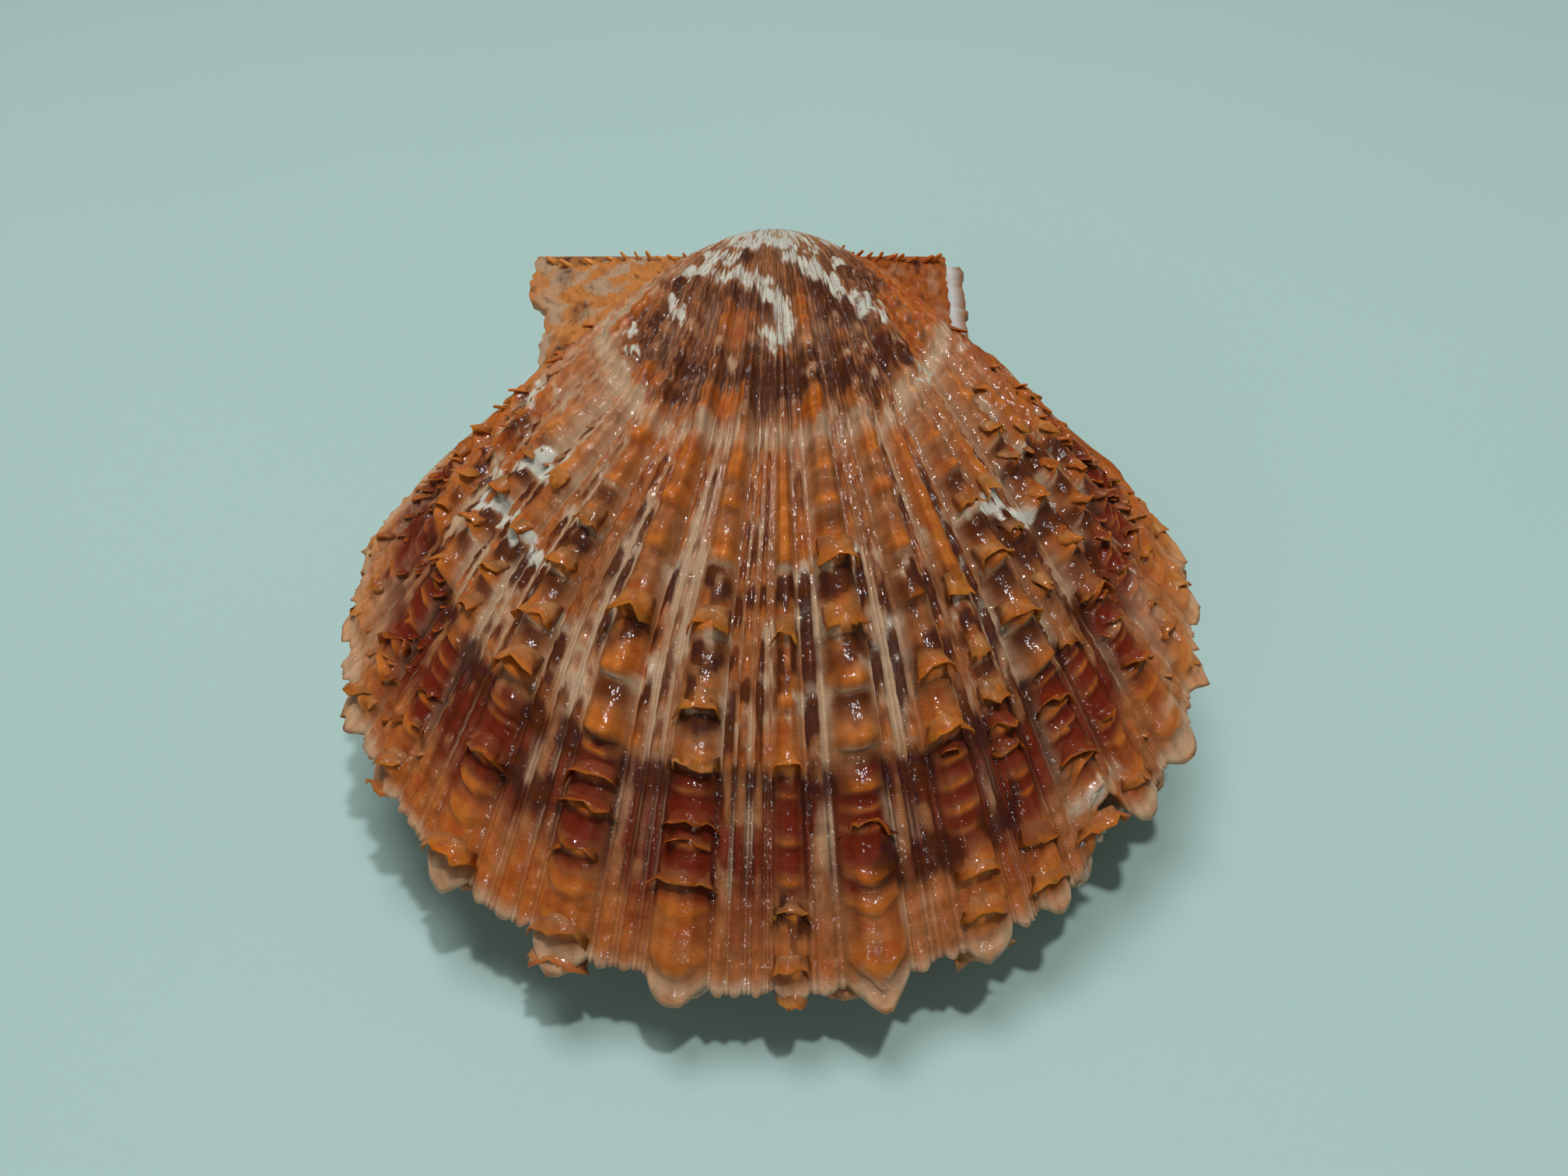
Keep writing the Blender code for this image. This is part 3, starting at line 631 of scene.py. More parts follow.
def add_marks(at):
    """Adds to the zones the marks that have a place, each shaken a little from riblet to riblet."""
    at.place = at.growth + (0.022 - 0.008 * at.young) * (at.luck - 0.5) + 0.010 * (at.fine - 0.5)
    at.amber = on_marks(at.line, at.place, AMBER_MARKS)
    at.spots = on_marks(at.line, at.place, PALE_SPOTS)
    at.shade = on_strokes(at.angle, at.place, DARK_STROKES) * (0.50 + 0.50 * at.luck)
    at.shade *= (1.0 - 0.55 * at.thread * at.middle) * (1.0 - 0.50 * at.young)
    at.light = on_strokes(at.angle, at.place, WHITE_STROKES) * (0.70 + 0.45 * at.luck)
    at.light *= np.clip(0.40 + 1.3 * mottle(at.line, at.growth, 2.0, 110.0, at.seed + 14), 0.0, 1.0)
    # Whites of the young shell are dimmed in the grooves between riblets: painted shade.
    at.light *= 1.0 - 0.40 * at.young * at.groove
    at.cap, at.dash = on_flecks(at.line, at.growth, at.ribs, at.seed + 60)
    yellow = smooth_step(0.50, 0.72, mottle(at.line, at.growth, 0.8, 34.0, at.seed + 15))
    at.ochre = at.band * at.small * at.furrow * yellow
    chance = np.random.default_rng(at.seed + 1).random((len(UPPER["ribs"]), 24))
    chance = chance[at.ribs["rib"], at.ribs["scale"]]
    at.tiled = at.middle * at.rib * smooth_step(0.55, 0.64, at.growth) * smooth_step(0.20, 0.45, chance)


def warm_mask(at):
    """Orange: patches, scale tips, the border of the young shell, and beads."""
    warm = 0.28 + 0.10 * at.rib + 0.6 * (at.patch - 0.4) + 0.35 * at.flank + 0.4 * (at.fine - 0.5)
    warm = at.middle * warm
    warm += at.outer * (0.50 + 0.15 * at.rib + 0.5 * (at.patch - 0.5) + 0.4 * (at.fine - 0.5))
    warm += at.amber + at.tip * (0.60 * at.middle + 0.45 * at.outer + 0.90 * at.band)
    warm += at.young * (0.15 * at.patch + at.border * (1.0 - 0.4 * at.left))
    return warm + 0.28 * at.small_rib + 0.55 * at.pearl


def ember_mask(at):
    """Deep red: the dark band, and clouds on the flanks and past the band."""
    ember = at.band * (0.80 + 0.15 * at.rib + 0.40 * (at.streak - 0.5))
    ember *= (1.0 - 0.80 * at.tip) * (1.0 - at.ochre)
    ember += at.outer * 0.50 * smooth_step(0.40, 0.75, at.streak) * (1.0 - 0.7 * at.tip)
    ember *= 1.0 - smooth_step(0.950, 0.985, at.growth)
    return ember + at.flank * at.middle * 0.40 * smooth_step(0.55, 0.75, at.patch)


def stain_mask(at):
    """Dark brown to purple: flecks, scale roots, the young shell's dusk, the band's edge, painted shade
    in grooves.
    """
    phase = at.ribs["phase"]
    root = smooth_step(0.04, 0.16, phase) * (1.0 - smooth_step(0.25, 0.70, phase))
    stain = at.tiled * root * 0.78 + at.middle * at.furrow * at.dash * (0.15 + 0.85 * at.small)
    stain += at.small_rib * (0.22 * smooth_step(0.4, 0.8, at.streak) + 0.16 * at.centre)
    stain += at.small_rib * 0.30 * at.bead_body
    rings = mottle(at.angle, at.growth, 0.12, 60.0, at.seed + 17)
    # The young shell's dusk is deeper in the grooves between riblets: painted shade in the grooves.
    dusk = 0.22 + 0.55 * at.groove + 0.60 * (at.block - 0.5) + 0.45 * (at.fine - 0.5)
    dusk += 0.30 * (at.luck - 0.5) + 0.50 * (rings - 0.5) + 0.12 * (at.bead_body - at.bead_root)
    dusk = np.clip(dusk, 0.0, 0.74) * (1.0 - 0.6 * at.pearl) * smooth_step(0.17, 0.26, at.growth)
    late = smooth_step(0.39, 0.45, at.growth) * (0.15 + 0.30 * (at.streak - 0.5))
    stain += at.young * (dusk * (1.0 - 0.75 * at.border) + late * (1.0 - at.border))
    stain += at.middle * smooth_step(0.53, 0.60, at.growth) * smooth_step(8.0, 20.0, at.angle) * 0.26
    # In the band's furrows the stain is deeper in the grooves: painted shade in the grooves.
    lane = 0.22 + 0.6 * (at.streak - 0.5) + 0.4 * (at.luck - 0.5) + 0.40 * at.groove
    edge = 1.0 - smooth_step(0.012, 0.040, at.past_second)
    stain += at.band * (at.furrow * lane + edge * (0.30 + 0.35 * at.furrow))
    stain = stain * (1.0 - 0.6 * at.ochre) + at.shade * 1.05
    return stain * (1.0 - 0.85 * at.amber) * (1.0 - 0.95 * at.light) * (1.0 - 0.8 * at.spots)


def cream_mask(at):
    """Cream: pale furrows and threads, caps of flecks and scales, the first pause, and the margin."""
    broken = 0.75 + 0.30 * at.luck
    broken += 0.8 * (mottle(at.line, at.growth, 1.2, 20.0, at.seed + 12) - 0.5)
    broken *= 1.0 - 0.30 * at.small
    broken *= 0.55 + 0.9 * mottle(at.line, at.growth, 0.5, 18.0, at.seed + 18)
    cream = on_marks(at.line, at.place, CREAM_FURROWS) * at.furrow * np.maximum(broken, 0.0)
    root = (0.15 + 0.30 * at.small) * at.bead_root * (1.0 - 0.3 * at.centre)
    cream += at.middle * at.furrow * (root + 0.9 * at.cap)
    cream += at.tiled * (1.0 - smooth_step(0.03, 0.17, at.ribs["phase"])) * 0.75
    pale = 0.24 + 0.35 * (at.luck - 0.5) + 0.35 * at.dash - 0.14 * at.centre
    cream += at.thread * (at.middle * pale + at.band * np.maximum(1.2 * (at.luck - 0.40), 0.0))
    cream += at.thread * at.outer * 0.25 * at.luck
    ring = np.exp(-((at.past_first - 0.006) / 0.015) ** 2) * (1.0 - 0.7 * at.young)
    cream += ring * (0.60 + 0.4 * (at.luck - 0.5))
    beak = (1.0 - smooth_step(0.17, 0.26, at.growth)) * (0.45 + 0.8 * (at.fine - 0.5))
    cream += at.young * (beak + 0.35 * smooth_step(0.55, 0.8, at.block))
    cream += at.young * at.border * at.left * 0.70 * smooth_step(0.25, 0.65, at.fine)
    cream += 0.8 * at.spots + 0.15 * at.pearl
    shoulder = smooth_step(12.0, 22.0, at.away) * (1.0 - smooth_step(0.60, 0.68, at.growth))
    cream += at.middle * shoulder * (0.12 + 0.16 * at.left) * (0.4 + 1.2 * at.streak)
    cream += 0.4 * at.outer * (at.fine - 0.5)
    cream += smooth_step(0.976, 1.000, at.growth) * (0.75 - 0.40 * at.flank)
    cream += at.flank * (at.old * smooth_step(0.45, 0.75, 1.0 - at.patch) * 0.35 + at.outer * 0.10)
    return cream * (1.0 - 0.7 * at.shade)


def white_mask(at):
    """Chalky white: strokes and spots, caps of flecks and scales, and the beak."""
    white = at.light + 0.45 * at.spots * smooth_step(0.4, 0.8, at.luck)
    white += at.middle * at.cap * (0.25 + 0.75 * at.small) * (0.36 + 0.45 * at.flank)
    white += at.young * (1.0 - smooth_step(0.17, 0.27, at.growth)) * smooth_step(0.38, 0.60, at.fine)
    return white + at.tiled * (1.0 - smooth_step(0.02, 0.10, at.ribs["phase"])) * 0.30


def amber_mask(at):
    """Translucent amber: ends of little scales, scale tips, and the edge of the flanks."""
    edge = smooth_step(0.90, 0.99, at.growth) * at.flank
    tiny = at.small_rib * 0.24 * smooth_step(0.40, 0.90, at.bead) * (1.0 - 0.6 * at.dash)
    return tiny + 0.30 * at.tip * (at.middle + at.outer) + 0.35 * edge


def ear_masks(at):
    """Masks of the ears: orange with cream clouds, palest on the left, and dark specks."""
    clouds = mottle(at.angle, at.growth, 0.14, 12.0, at.seed + 8) * 0.6
    clouds += mottle(at.angle, at.growth, 0.35, 26.0, at.seed + 9) * 0.4
    soot = on_marks(at.angle, at.growth, EAR_DARK) * (0.5 + clouds)
    soot += 0.5 * smooth_step(0.60, 0.85, clouds)
    soot += 0.6 * smooth_step(0.62, 0.85, mottle(at.angle, at.growth, 1.1, 60.0, at.seed + 16))
    glow = 0.8 * on_marks(at.angle, at.growth, EAR_CREAM) * (0.6 + clouds)
    glow = (glow + 0.60 * smooth_step(0.36, 0.80, 1.0 - clouds)) * (0.60 + 0.25 * at.left)
    glow += at.left * 0.50 * smooth_step(0.52, 0.66, 1.0 - clouds)
    return {
        "amber": 0.10 + 0.50 * at.left + 0.40 * (clouds - 0.5),
        "warm": 1.0 + 0.4 * (clouds - 0.5),
        "ember": (1.0 - at.left) * 0.30 * clouds,
        "stain": soot * 0.65,
        "cream": glow,
        "white": np.zeros_like(clouds),
    }


def upper_colour(angle, growth, ribs):
    """Colour masks of the upper valve, each about 0 to 1, on the disc and on the ears."""
    at = upper_zones(angle, growth, ribs)
    add_marks(at)
    disc = 1.0 - smooth_step(EAR_EDGE - 3.0, EAR_EDGE, at.away)
    on_disc = {"amber": amber_mask(at), "warm": warm_mask(at), "ember": ember_mask(at),
               "stain": stain_mask(at), "cream": cream_mask(at), "white": white_mask(at)}
    on_ear = ear_masks(at)
    return {key: on_disc[key] * disc + on_ear[key] * (1.0 - disc) for key in MASKS}


def lower_colour(angle, growth, ribs):
    """Colour masks of the lower valve: paler, tan and cream with brown clouds."""
    seed = LOWER["seed"]
    rib = ribs["height"] * smooth_step(0.35, 0.6, growth)
    streak = mottle(ribs["line"], growth, 0.9, 16.0, seed + 2)
    patch = mottle(angle, growth, 0.2, 14.0, seed + 4)
    warm = 0.30 + 0.25 * patch + 0.3 * smooth_step(0.86, 0.98, growth)
    ember = 0.30 * smooth_step(0.62, 0.82, patch) * smooth_step(0.3, 0.6, growth)
    stain = 0.55 * smooth_step(0.58, 0.80, streak) * smooth_step(0.25, 0.5, growth)
    cream = 0.30 + 0.45 * (1.0 - smooth_step(0.2, 0.5, growth)) + 0.30 * rib * (1.0 - streak)
    white = 0.55 * smooth_step(0.62, 0.80, 1.0 - patch) * smooth_step(0.2, 0.5, growth)
    return {"amber": 0.0 * growth, "warm": warm, "ember": ember, "stain": stain, "cream": cream,
            "white": white}


# ---------------------------------------------------------------- meshes

def hinge_place():
    """Where the middle of the hinge line is, read from the ligament's box."""
    low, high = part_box("hinge_ligament")
    across = (low[0] + high[0]) / 2.0 - (LIGAMENT_LEFT + LIGAMENT_RIGHT) / 2.0
    back = low[1] + PAD_REACH * cos(REST_TILT) + PAD_HEIGHT / 2.0 * sin(REST_TILT)
    up = low[2] + PAD_REACH * sin(REST_TILT) + PAD_HEIGHT / 2.0 * cos(REST_TILT)
    return Vector((across, back, up))


SHELL_TO_WORLD = Matrix.Translation(hinge_place()) @ Matrix.Rotation(REST_TILT, 4, "X")
OVER = Matrix.Rotation(pi, 4, "Y")


def moved(points, matrix):
    """Points carried by a matrix."""
    turn = np.array(matrix.to_3x3())
    return points @ turn.T + np.array(matrix.translation)


def make_mesh(name, points, faces, material):
    """A mesh object with smooth faces, at the origin."""
    mesh = bpy.data.meshes.new(name)
    mesh.from_pydata(points.tolist(), [], faces)
    mesh.update()
    mesh.shade_smooth()
    mesh.materials.append(material)
    thing = bpy.data.objects.new(name, mesh)
    bpy.context.scene.collection.objects.link(thing)
    return thing


def store(mesh, name, values):
    """One number for each point, for the material to read."""
    layer = mesh.attributes.new(name, "FLOAT", "POINT")
    layer.data.foreach_set("value", np.ascontiguousarray(values, np.float32))


def outer_face(angle, growth, valve, ribs):
    """Points of the finished outer face, kept above the meeting plane and on the hinge's near side."""
    ray = np.radians(angle)
    hinge_free = smooth_step(90.0, 87.5, np.abs(angle))
    height = relief(angle, growth, valve, ribs) * hinge_free
    points = valve_point(ray, growth, valve) + outwards(ray, growth, valve) * height[..., None]
    points[..., 2] = np.maximum(points[..., 2], MEETING_GAP / 2.0 + RIM_WALL)
    points[..., 1] = np.minimum(points[..., 1], 0.0)
    return points


def inner_face(angle, growth, valve):
    """Points of the inner face: flat where the valves meet, hollow under the dome."""
    points = valve_point(np.radians(angle), growth, valve)
    hollow = smooth_step(0.22, 0.42, growth) * (1.0 - smooth_step(40.0, 46.0, np.abs(angle)))
    dome = np.maximum(points[..., 2] - EAR_LIFT, 0.0) * INNER_DOME
    points[..., 2] = MEETING_GAP / 2.0 + dome * hollow
    return points


def valve_faces(rows, width, kept):
    """Faces of a closed valve: outer face, inner face, the rim between them, and the hinge sides."""
    base = rows * width
    top_pole = base + len(kept) * width
    low_pole = top_pole + 1
    columns = range(width - 1)
    faces = []

    def join(near, far):
        """Faces between two rows, each given by its first point."""
        faces.extend((near + i, far + i, far + i + 1, near + i + 1) for i in columns)

    for row in range(rows - 1):
        join(row * width, (row + 1) * width)
    faces.extend((top_pole, i, i + 1) for i in columns)
    for row in range(len(kept) - 1):
        near, far = base + row * width, base + (row + 1) * width
        faces.extend((near + i, near + i + 1, far + i + 1, far + i) for i in columns)
    faces.extend((low_pole, base + i + 1, base + i) for i in columns)
    join((rows - 1) * width, base + (len(kept) - 1) * width)
    for column, flip in ((0, False), (width - 1, True)):
        before = -1
        for number, row in enumerate(kept):
            strip = [top_pole] if before < 0 else []
            strip += [r * width + column for r in range(max(before, 0), row + 1)]
            strip.append(base + number * width + column)
            strip.append(low_pole if before < 0 else base + (number - 1) * width + column)
            faces.append(tuple(strip) if flip else tuple(reversed(strip)))
            before = row
    return faces


def note_valve(mesh, masks, ribs, growth, inner_points):
    """Stores what the shell's finish reads: the masks, the kind of surface, and what lies inside."""
    width = growth.shape[1]
    hidden = np.zeros(inner_points - width)
    poles = np.zeros(2)
    for key in MASKS:
        store(mesh, key, np.concatenate([masks[key].ravel(), hidden, masks[key][-1], poles]))
    store(mesh, "inside", np.concatenate([np.zeros(growth.size), hidden + 1.0, np.zeros(width),
                                          [0.0, 1.0]]))
    rib = ribs["height"] * smooth_step(0.42, 0.62, growth)
    notes = {"rib": rib,
             "calm": np.maximum(0.42 + 0.43 * rib, 0.75 * smooth_step(0.50, 0.42, growth)),
             "up": ribs["up"],
             "lip": ribs["phase"] * ribs["height"]}
    for key, values in notes.items():
        store(mesh, key, np.concatenate([values.ravel(), np.zeros(inner_points + 2)]))


def map_rays(mesh, place):
    """The ray map: rib line across and growth along, one place for each point."""
    layer = mesh.uv_layers.new(name="rays")
    corner = np.zeros(len(mesh.loops), np.int32)
    mesh.loops.foreach_get("vertex_index", corner)
    uv = place[corner].copy()
    uv[:, 0] /= DEGREES_PER_UV
    layer.data.foreach_set("uv", uv.astype(np.float32).ravel())


def make_valve(name, valve, colour, placed, material):
    """A whole valve: outer face, rim, hinge face and inner face in one closed mesh."""
    columns, riblet = columns_of(valve)
    rows = (np.linspace(0.0, 1.0, GROWTH_ROWS) ** ROW_POWER)[1:, None]
    end = last_growth(columns, riblet, valve)
    growth = rows * (1.0 + (end[None, :] - 1.0) * rows ** MARGIN_HOLD)
    line = np.broadcast_to(columns[None, :], growth.shape).copy()
    angle = rib_bearing(line, growth)
    riblet = {key: np.broadcast_to(values, growth.shape) for key, values in riblet.items()}
    ribs = on_ribs(line, growth, valve, riblet)
    outer = outer_face(angle, growth, valve, ribs)

    last = len(growth) - 1
    kept = [row for row in range(len(growth)) if (last - row) % INNER_EVERY == 0]
    inner_growth = growth[kept] - RIM_STEP * (np.array(kept) == last)[:, None]
    inner = inner_face(angle[kept], inner_growth, valve)
    poles = np.array([[0.0, 0.0, EAR_LIFT], [0.0, 0.0, MEETING_GAP / 2.0]])
    points = np.concatenate([outer.reshape(-1, 3), inner.reshape(-1, 3), poles])
    points = moved(points, SHELL_TO_WORLD @ placed)
    points[:, 2] = np.maximum(points[:, 2], 0.0)

    thing = make_mesh(name, points, valve_faces(len(growth), len(columns), kept), material)
    note_valve(thing.data, colour(angle, growth, ribs), ribs, growth, inner_growth.size)
    map_rays(thing.data, np.concatenate([
        np.stack([line, growth], -1).reshape(-1, 2),
        np.stack([line[kept], inner_growth], -1).reshape(-1, 2),
        np.zeros((2, 2))]))
    return thing


# ---------------------------------------------------------------- free-standing scales

# Forms of free scale: half angle of the arch, how the edge widens, how its corners reach ahead.
SCALE_FORMS = [
    {"Arch": 1.30, "Flare": 0.22, "Corner": 0.32, "Rise": 0.13, "Wall": 0.050, "Seed": 3},
    {"Arch": 1.20, "Flare": 0.30, "Corner": 0.16, "Rise": 0.18, "Wall": 0.045, "Seed": 7},
    {"Arch": 1.35, "Flare": 0.12, "Corner": -0.10, "Rise": 0.09, "Wall": 0.055, "Seed": 12},
    {"Arch": 1.10, "Flare": -0.10, "Corner": -0.50, "Rise": 0.26, "Wall": 0.050, "Seed": 17},
]
FLANK_FORM = len(SCALE_FORMS) - 1       # pointed scales, on the ribs of the flanks
SPINE_FORM = {"Arch": 1.15, "Flare": -0.25, "Corner": -0.50, "Rise": 0.95, "Wall": 0.22, "Seed": 21,
              "Columns": 5, "Rows": 3, "Ruffle": 0.0004}
# Sizes and counts of a free scale where its form gives none; Ruffle is in metres.
SCALE_SIZES = {"Arch": 1.25, "Flare": 0.30, "Corner": 0.25, "Rise": 0.45, "Wall": 0.14,
               "Jitter": 0.12, "Ruffle": 0.0022}
SCALE_COUNTS = {"Seed": 3, "Columns": 9, "Rows": 4}
SCALE_ROOT_WIDTH = 0.85                 # width and height of a scale at its root, lip 1
SCALE_ROOT_HEIGHT = 0.8
ARCH_POWER = 0.65                       # under 1, the arch is fuller than a bow
RUFFLES_PER_METRE = 900.0
LONGEST_SCALE = 0.020                   # most growth that a free scale reaches over
SUNK_SHARE = 0.94                       # share of its height that a scale's root is sunk
SPINE = (0.52, 0.00028, 0.012)          # half width in degrees, height, reach in growth
FLOOR_CLEARANCE = 0.0022                # no free scale stands on the shell lower than this
ON_SCALES = {"cream": 0.30, "white": 0.35, "stain": 0.70}    # share of a mask left on free scales


class ScaleNodes:
    """The Geometry Nodes tree of the free scales while it is laid out."""

    def __init__(self, name):
        self.tree = bpy.data.node_groups.new(name, "GeometryNodeTree")

    def add_input(self, label, kind, value=None):
        """A named input of the tree, with the size that it has when none is given."""
        socket = self.tree.interface.new_socket(label, in_out="INPUT", socket_type="NodeSocket" + kind)
        if value is not None:
            socket.default_value = value

    def node(self, kind, inputs, **settings):
        """A node with its settings; each input gets a value or another node's socket."""
        made = self.tree.nodes.new(kind)
        for label, value in settings.items():
            setattr(made, label, value)
        for slot, value in inputs.items():
            if isinstance(value, bpy.types.NodeSocket):
                self.tree.links.new(value, made.inputs[slot])
            else:
                made.inputs[slot].default_value = value
        return made

    def maths(self, kind, a, b=None):
        """A sum on one or two numbers."""
        inputs = {0: a} if b is None else {0: a, 1: b}
        return self.node("ShaderNodeMath", inputs, operation=kind).outputs[0]

    def vectors(self, kind, a, b, slot=1):
        """A sum on a vector and another vector, or on a vector and its scale."""
        return self.node("ShaderNodeVectorMath", {0: a, slot: b}, operation=kind).outputs[0]

    def named(self, kind, label):
        """A note that the points carry."""
        found = self.node("GeometryNodeInputNamedAttribute", {"Name": label}, data_type=kind)
        return found.outputs["Attribute"]


def one_scale(grow, given):
    """A hollow arched scale: a grid bent over its rib, flared towards the lip, with a wall."""
    grid = grow.node("GeometryNodeMeshGrid",
                     {"Vertices X": given["Columns"], "Vertices Y": given["Rows"]})
    place = grow.node("GeometryNodeInputPosition", {}).outputs[0]
    flat = grow.node("ShaderNodeSeparateXYZ", {0: place}).outputs
    across = grow.maths("MULTIPLY", flat[0], 2.0)
    along = grow.maths("ADD", flat[1], 0.5)

    bend = grow.maths("MULTIPLY", across, given["Arch"])
    squared = grow.maths("MULTIPLY", along, along)
    spread = grow.maths("ADD", grow.maths("MULTIPLY", squared, given["Flare"]), SCALE_ROOT_WIDTH)
    side = grow.maths("DIVIDE", grow.maths("SINE", bend), grow.maths("SINE", given["Arch"]))
    shut = grow.maths("COSINE", given["Arch"])
    arch = grow.maths("SUBTRACT", grow.maths("COSINE", bend), shut)
    arch = grow.maths("DIVIDE", arch, grow.maths("SUBTRACT", 1.0, shut))
    arch = grow.maths("POWER", grow.maths("MAXIMUM", arch, 0.0), ARCH_POWER)
    outermost = grow.maths("POWER", grow.maths("ABSOLUTE", across), 3.0)
    corner = grow.maths("MULTIPLY", outermost, given["Corner"])
    forward = grow.maths("MULTIPLY", along, grow.maths("ADD", 1.0, corner))
    lifted = grow.maths("ADD", SCALE_ROOT_HEIGHT, grow.maths("MULTIPLY", along, 1.0 - SCALE_ROOT_HEIGHT))
    height = grow.maths("MULTIPLY", arch, lifted)
    rise = grow.maths("MULTIPLY", grow.maths("POWER", along, 1.6), given["Rise"])
    bent = grow.node("ShaderNodeCombineXYZ", {0: grow.maths("MULTIPLY", side, spread), 1: forward,
                                              2: grow.maths("ADD", height, rise)})
    noted = grow.node("GeometryNodeStoreNamedAttribute",
                      {"Name": "lip", "Geometry": grid.outputs["Mesh"], "Value": along},
                      data_type="FLOAT", domain="POINT")
    shaped = grow.node("GeometryNodeSetPosition",
                       {"Geometry": noted.outputs[0], "Position": bent.outputs[0]}).outputs[0]

    wall = grow.node("GeometryNodeExtrudeMesh",
                     {"Individual": False, "Mesh": shaped, "Offset Scale": given["Wall"]}, mode="FACES")
    under = grow.node("GeometryNodeFlipFaces", {0: shaped})
    both = grow.node("GeometryNodeJoinGeometry", {0: wall.outputs["Mesh"]})
    grow.tree.links.new(under.outputs[0], both.inputs[0])
    closed = grow.node("GeometryNodeMergeByDistance", {"Distance": 0.0001, 0: both.outputs[0]})
    return closed.outputs[0]


def set_on_points(grow, given, scale):
    """The scale on every point, turned along its rib and sized by its span, a little by chance."""
    turn = grow.node("FunctionNodeAxesToRotation",
                     {0: grow.named("FLOAT_VECTOR", "along"), 1: grow.named("FLOAT_VECTOR", "out")},
                     primary_axis="Y", secondary_axis="Z")
    chance = grow.node("FunctionNodeRandomValue",
                       {0: (-1.0, -1.0, -1.0), 1: (1.0, 1.0, 1.0), "Seed": given["Seed"]},
                       data_type="FLOAT_VECTOR")
    shift = grow.vectors("SCALE", chance.outputs[0], given["Jitter"], "Scale")
    span = grow.vectors("MULTIPLY", grow.named("FLOAT_VECTOR", "span"),
                        grow.vectors("ADD", shift, (1.0, 1.0, 1.0)))
    scales = grow.node("GeometryNodeInstanceOnPoints",
                       {"Points": given["Points"], "Instance": scale, "Rotation": turn.outputs[0],
                        "Scale": span})
    return grow.node("GeometryNodeRealizeInstances", {0: scales.outputs[0]}).outputs[0]


def ruffled(grow, given, scales):
    """The scales with their lips swayed by noise, each in its own way."""
    waves = grow.node("ShaderNodeTexNoise", {"Scale": RUFFLES_PER_METRE, "Detail": 1.5})
    centred = grow.vectors("SUBTRACT", waves.outputs["Color"], (0.5, 0.5, 0.5))
    lip = grow.named("FLOAT", "lip")
    edge_only = grow.maths("MULTIPLY", grow.maths("MULTIPLY", lip, lip), given["Ruffle"])
    sway = grow.vectors("SCALE", centred, edge_only, "Scale")
    return grow.node("GeometryNodeSetPosition", {"Geometry": scales, "Offset": sway}).outputs[0]


def scale_tree():
    """Geometry Nodes: one hollow arched scale with a wall, set on every point."""
    grow = ScaleNodes("shell_scales")
    grow.add_input("Points", "Geometry")
    for label, value in SCALE_SIZES.items():
        grow.add_input(label, "Float", value)
    for label, value in SCALE_COUNTS.items():
        grow.add_input(label, "Int", value)
    grow.add_input("Finish", "Material")
    grow.tree.interface.new_socket("Scales", in_out="OUTPUT", socket_type="NodeSocketGeometry")
    given = grow.tree.nodes.new("NodeGroupInput").outputs
    scales = set_on_points(grow, given, one_scale(grow, given))
    smooth = grow.node("GeometryNodeSetShadeSmooth", {0: ruffled(grow, given, scales)})
    paint = grow.node("GeometryNodeSetMaterial",
                      {"Geometry": smooth.outputs[0], "Material": given["Finish"]})
    grow.node("NodeGroupOutput", {0: paint.outputs[0]})
    return grow.tree


def scale_places(valve, kind):
    """Free scales of one form on the ribs: line, growth of the lip, half width, arch, length, chance."""
    own = np.random.default_rng(valve["seed"] + 50)
    places = []
    for index, (rib, strength, half) in enumerate(valve["ribs"]):
        lips = scale_growths(valve, index)
        flank = smooth_step(16.0, 26.0, abs(rib))
        first = 0.645 - 0.085 * flank
        for before, lip in zip(lips, lips[1:-1]):
            chance, form = own.random(), own.integers(0, FLANK_FORM)
            form = FLANK_FORM if abs(rib) > 22.0 and own.random() < 0.8 else form
            bare = 0.30 - 0.15 * flank if lip - before > 0.03 else 0.60
            if lip > first and chance > bare and form == kind:
                grown = 0.30 + 0.70 * smooth_step(0.55, 0.85, lip)
                arch = (RIB_RISE + SCALE_RISE * 0.5) * strength * grown * valve["relief"]
                reach = min((lip - before) * 0.5, LONGEST_SCALE)
                places.append((rib, lip, half * 0.96, arch, reach, chance))
    return np.array(places)


def spine_places(valve):
    """Little spines: thick on the flanks, sparse on the bold riblets, in rows on the ears."""
    own = np.random.default_rng(valve["seed"] + 70)
    places = []

    def stand(line, growth, size, lift=1.0, long=1.0):
        """One spine, in the terms of a free scale."""
        half, arch, reach = SPINE
        places.append((line, growth, half * size, arch * size * lift, reach * size * long, own.random()))

    columns, riblet = riblet_columns(valve)
    for line in columns[riblet["up"] > 0.5]:
        flank = smooth_step(22.0, 34.0, abs(line))
        for growth in np.arange(0.57, 0.985, 0.026) + own.uniform(-0.012, 0.012):
            old = smooth_step(0.78, 0.84, growth)
            if own.random() < 0.06 * flank * (0.4 + 0.6 * old):
                stand(line, growth, own.uniform(0.6, 1.0) + 0.3 * flank)
    for side in (-1.0, 1.0):
        for growth in np.arange(0.34, 0.99, 0.05):
            stand(side * own.uniform(85.5, 88.0), growth + own.uniform(-0.02, 0.02),
                  own.uniform(1.8, 2.8) + 0.6 * (side > 0.0), own.uniform(0.7, 1.2), 1.5)
        for rib in EAR_RIBS:
            for growth in np.arange(0.45, 0.97, 0.09):
                if own.random() < 0.5:
                    stand(side * rib, growth + own.uniform(-0.03, 0.03), own.uniform(0.7, 1.3))
        for growth in np.arange(0.54, 0.98, 0.028):
            stand(side * own.uniform(42.0, 46.0), growth + own.uniform(-0.01, 0.01),
                  own.uniform(1.2, 2.2))
    return np.array(places)


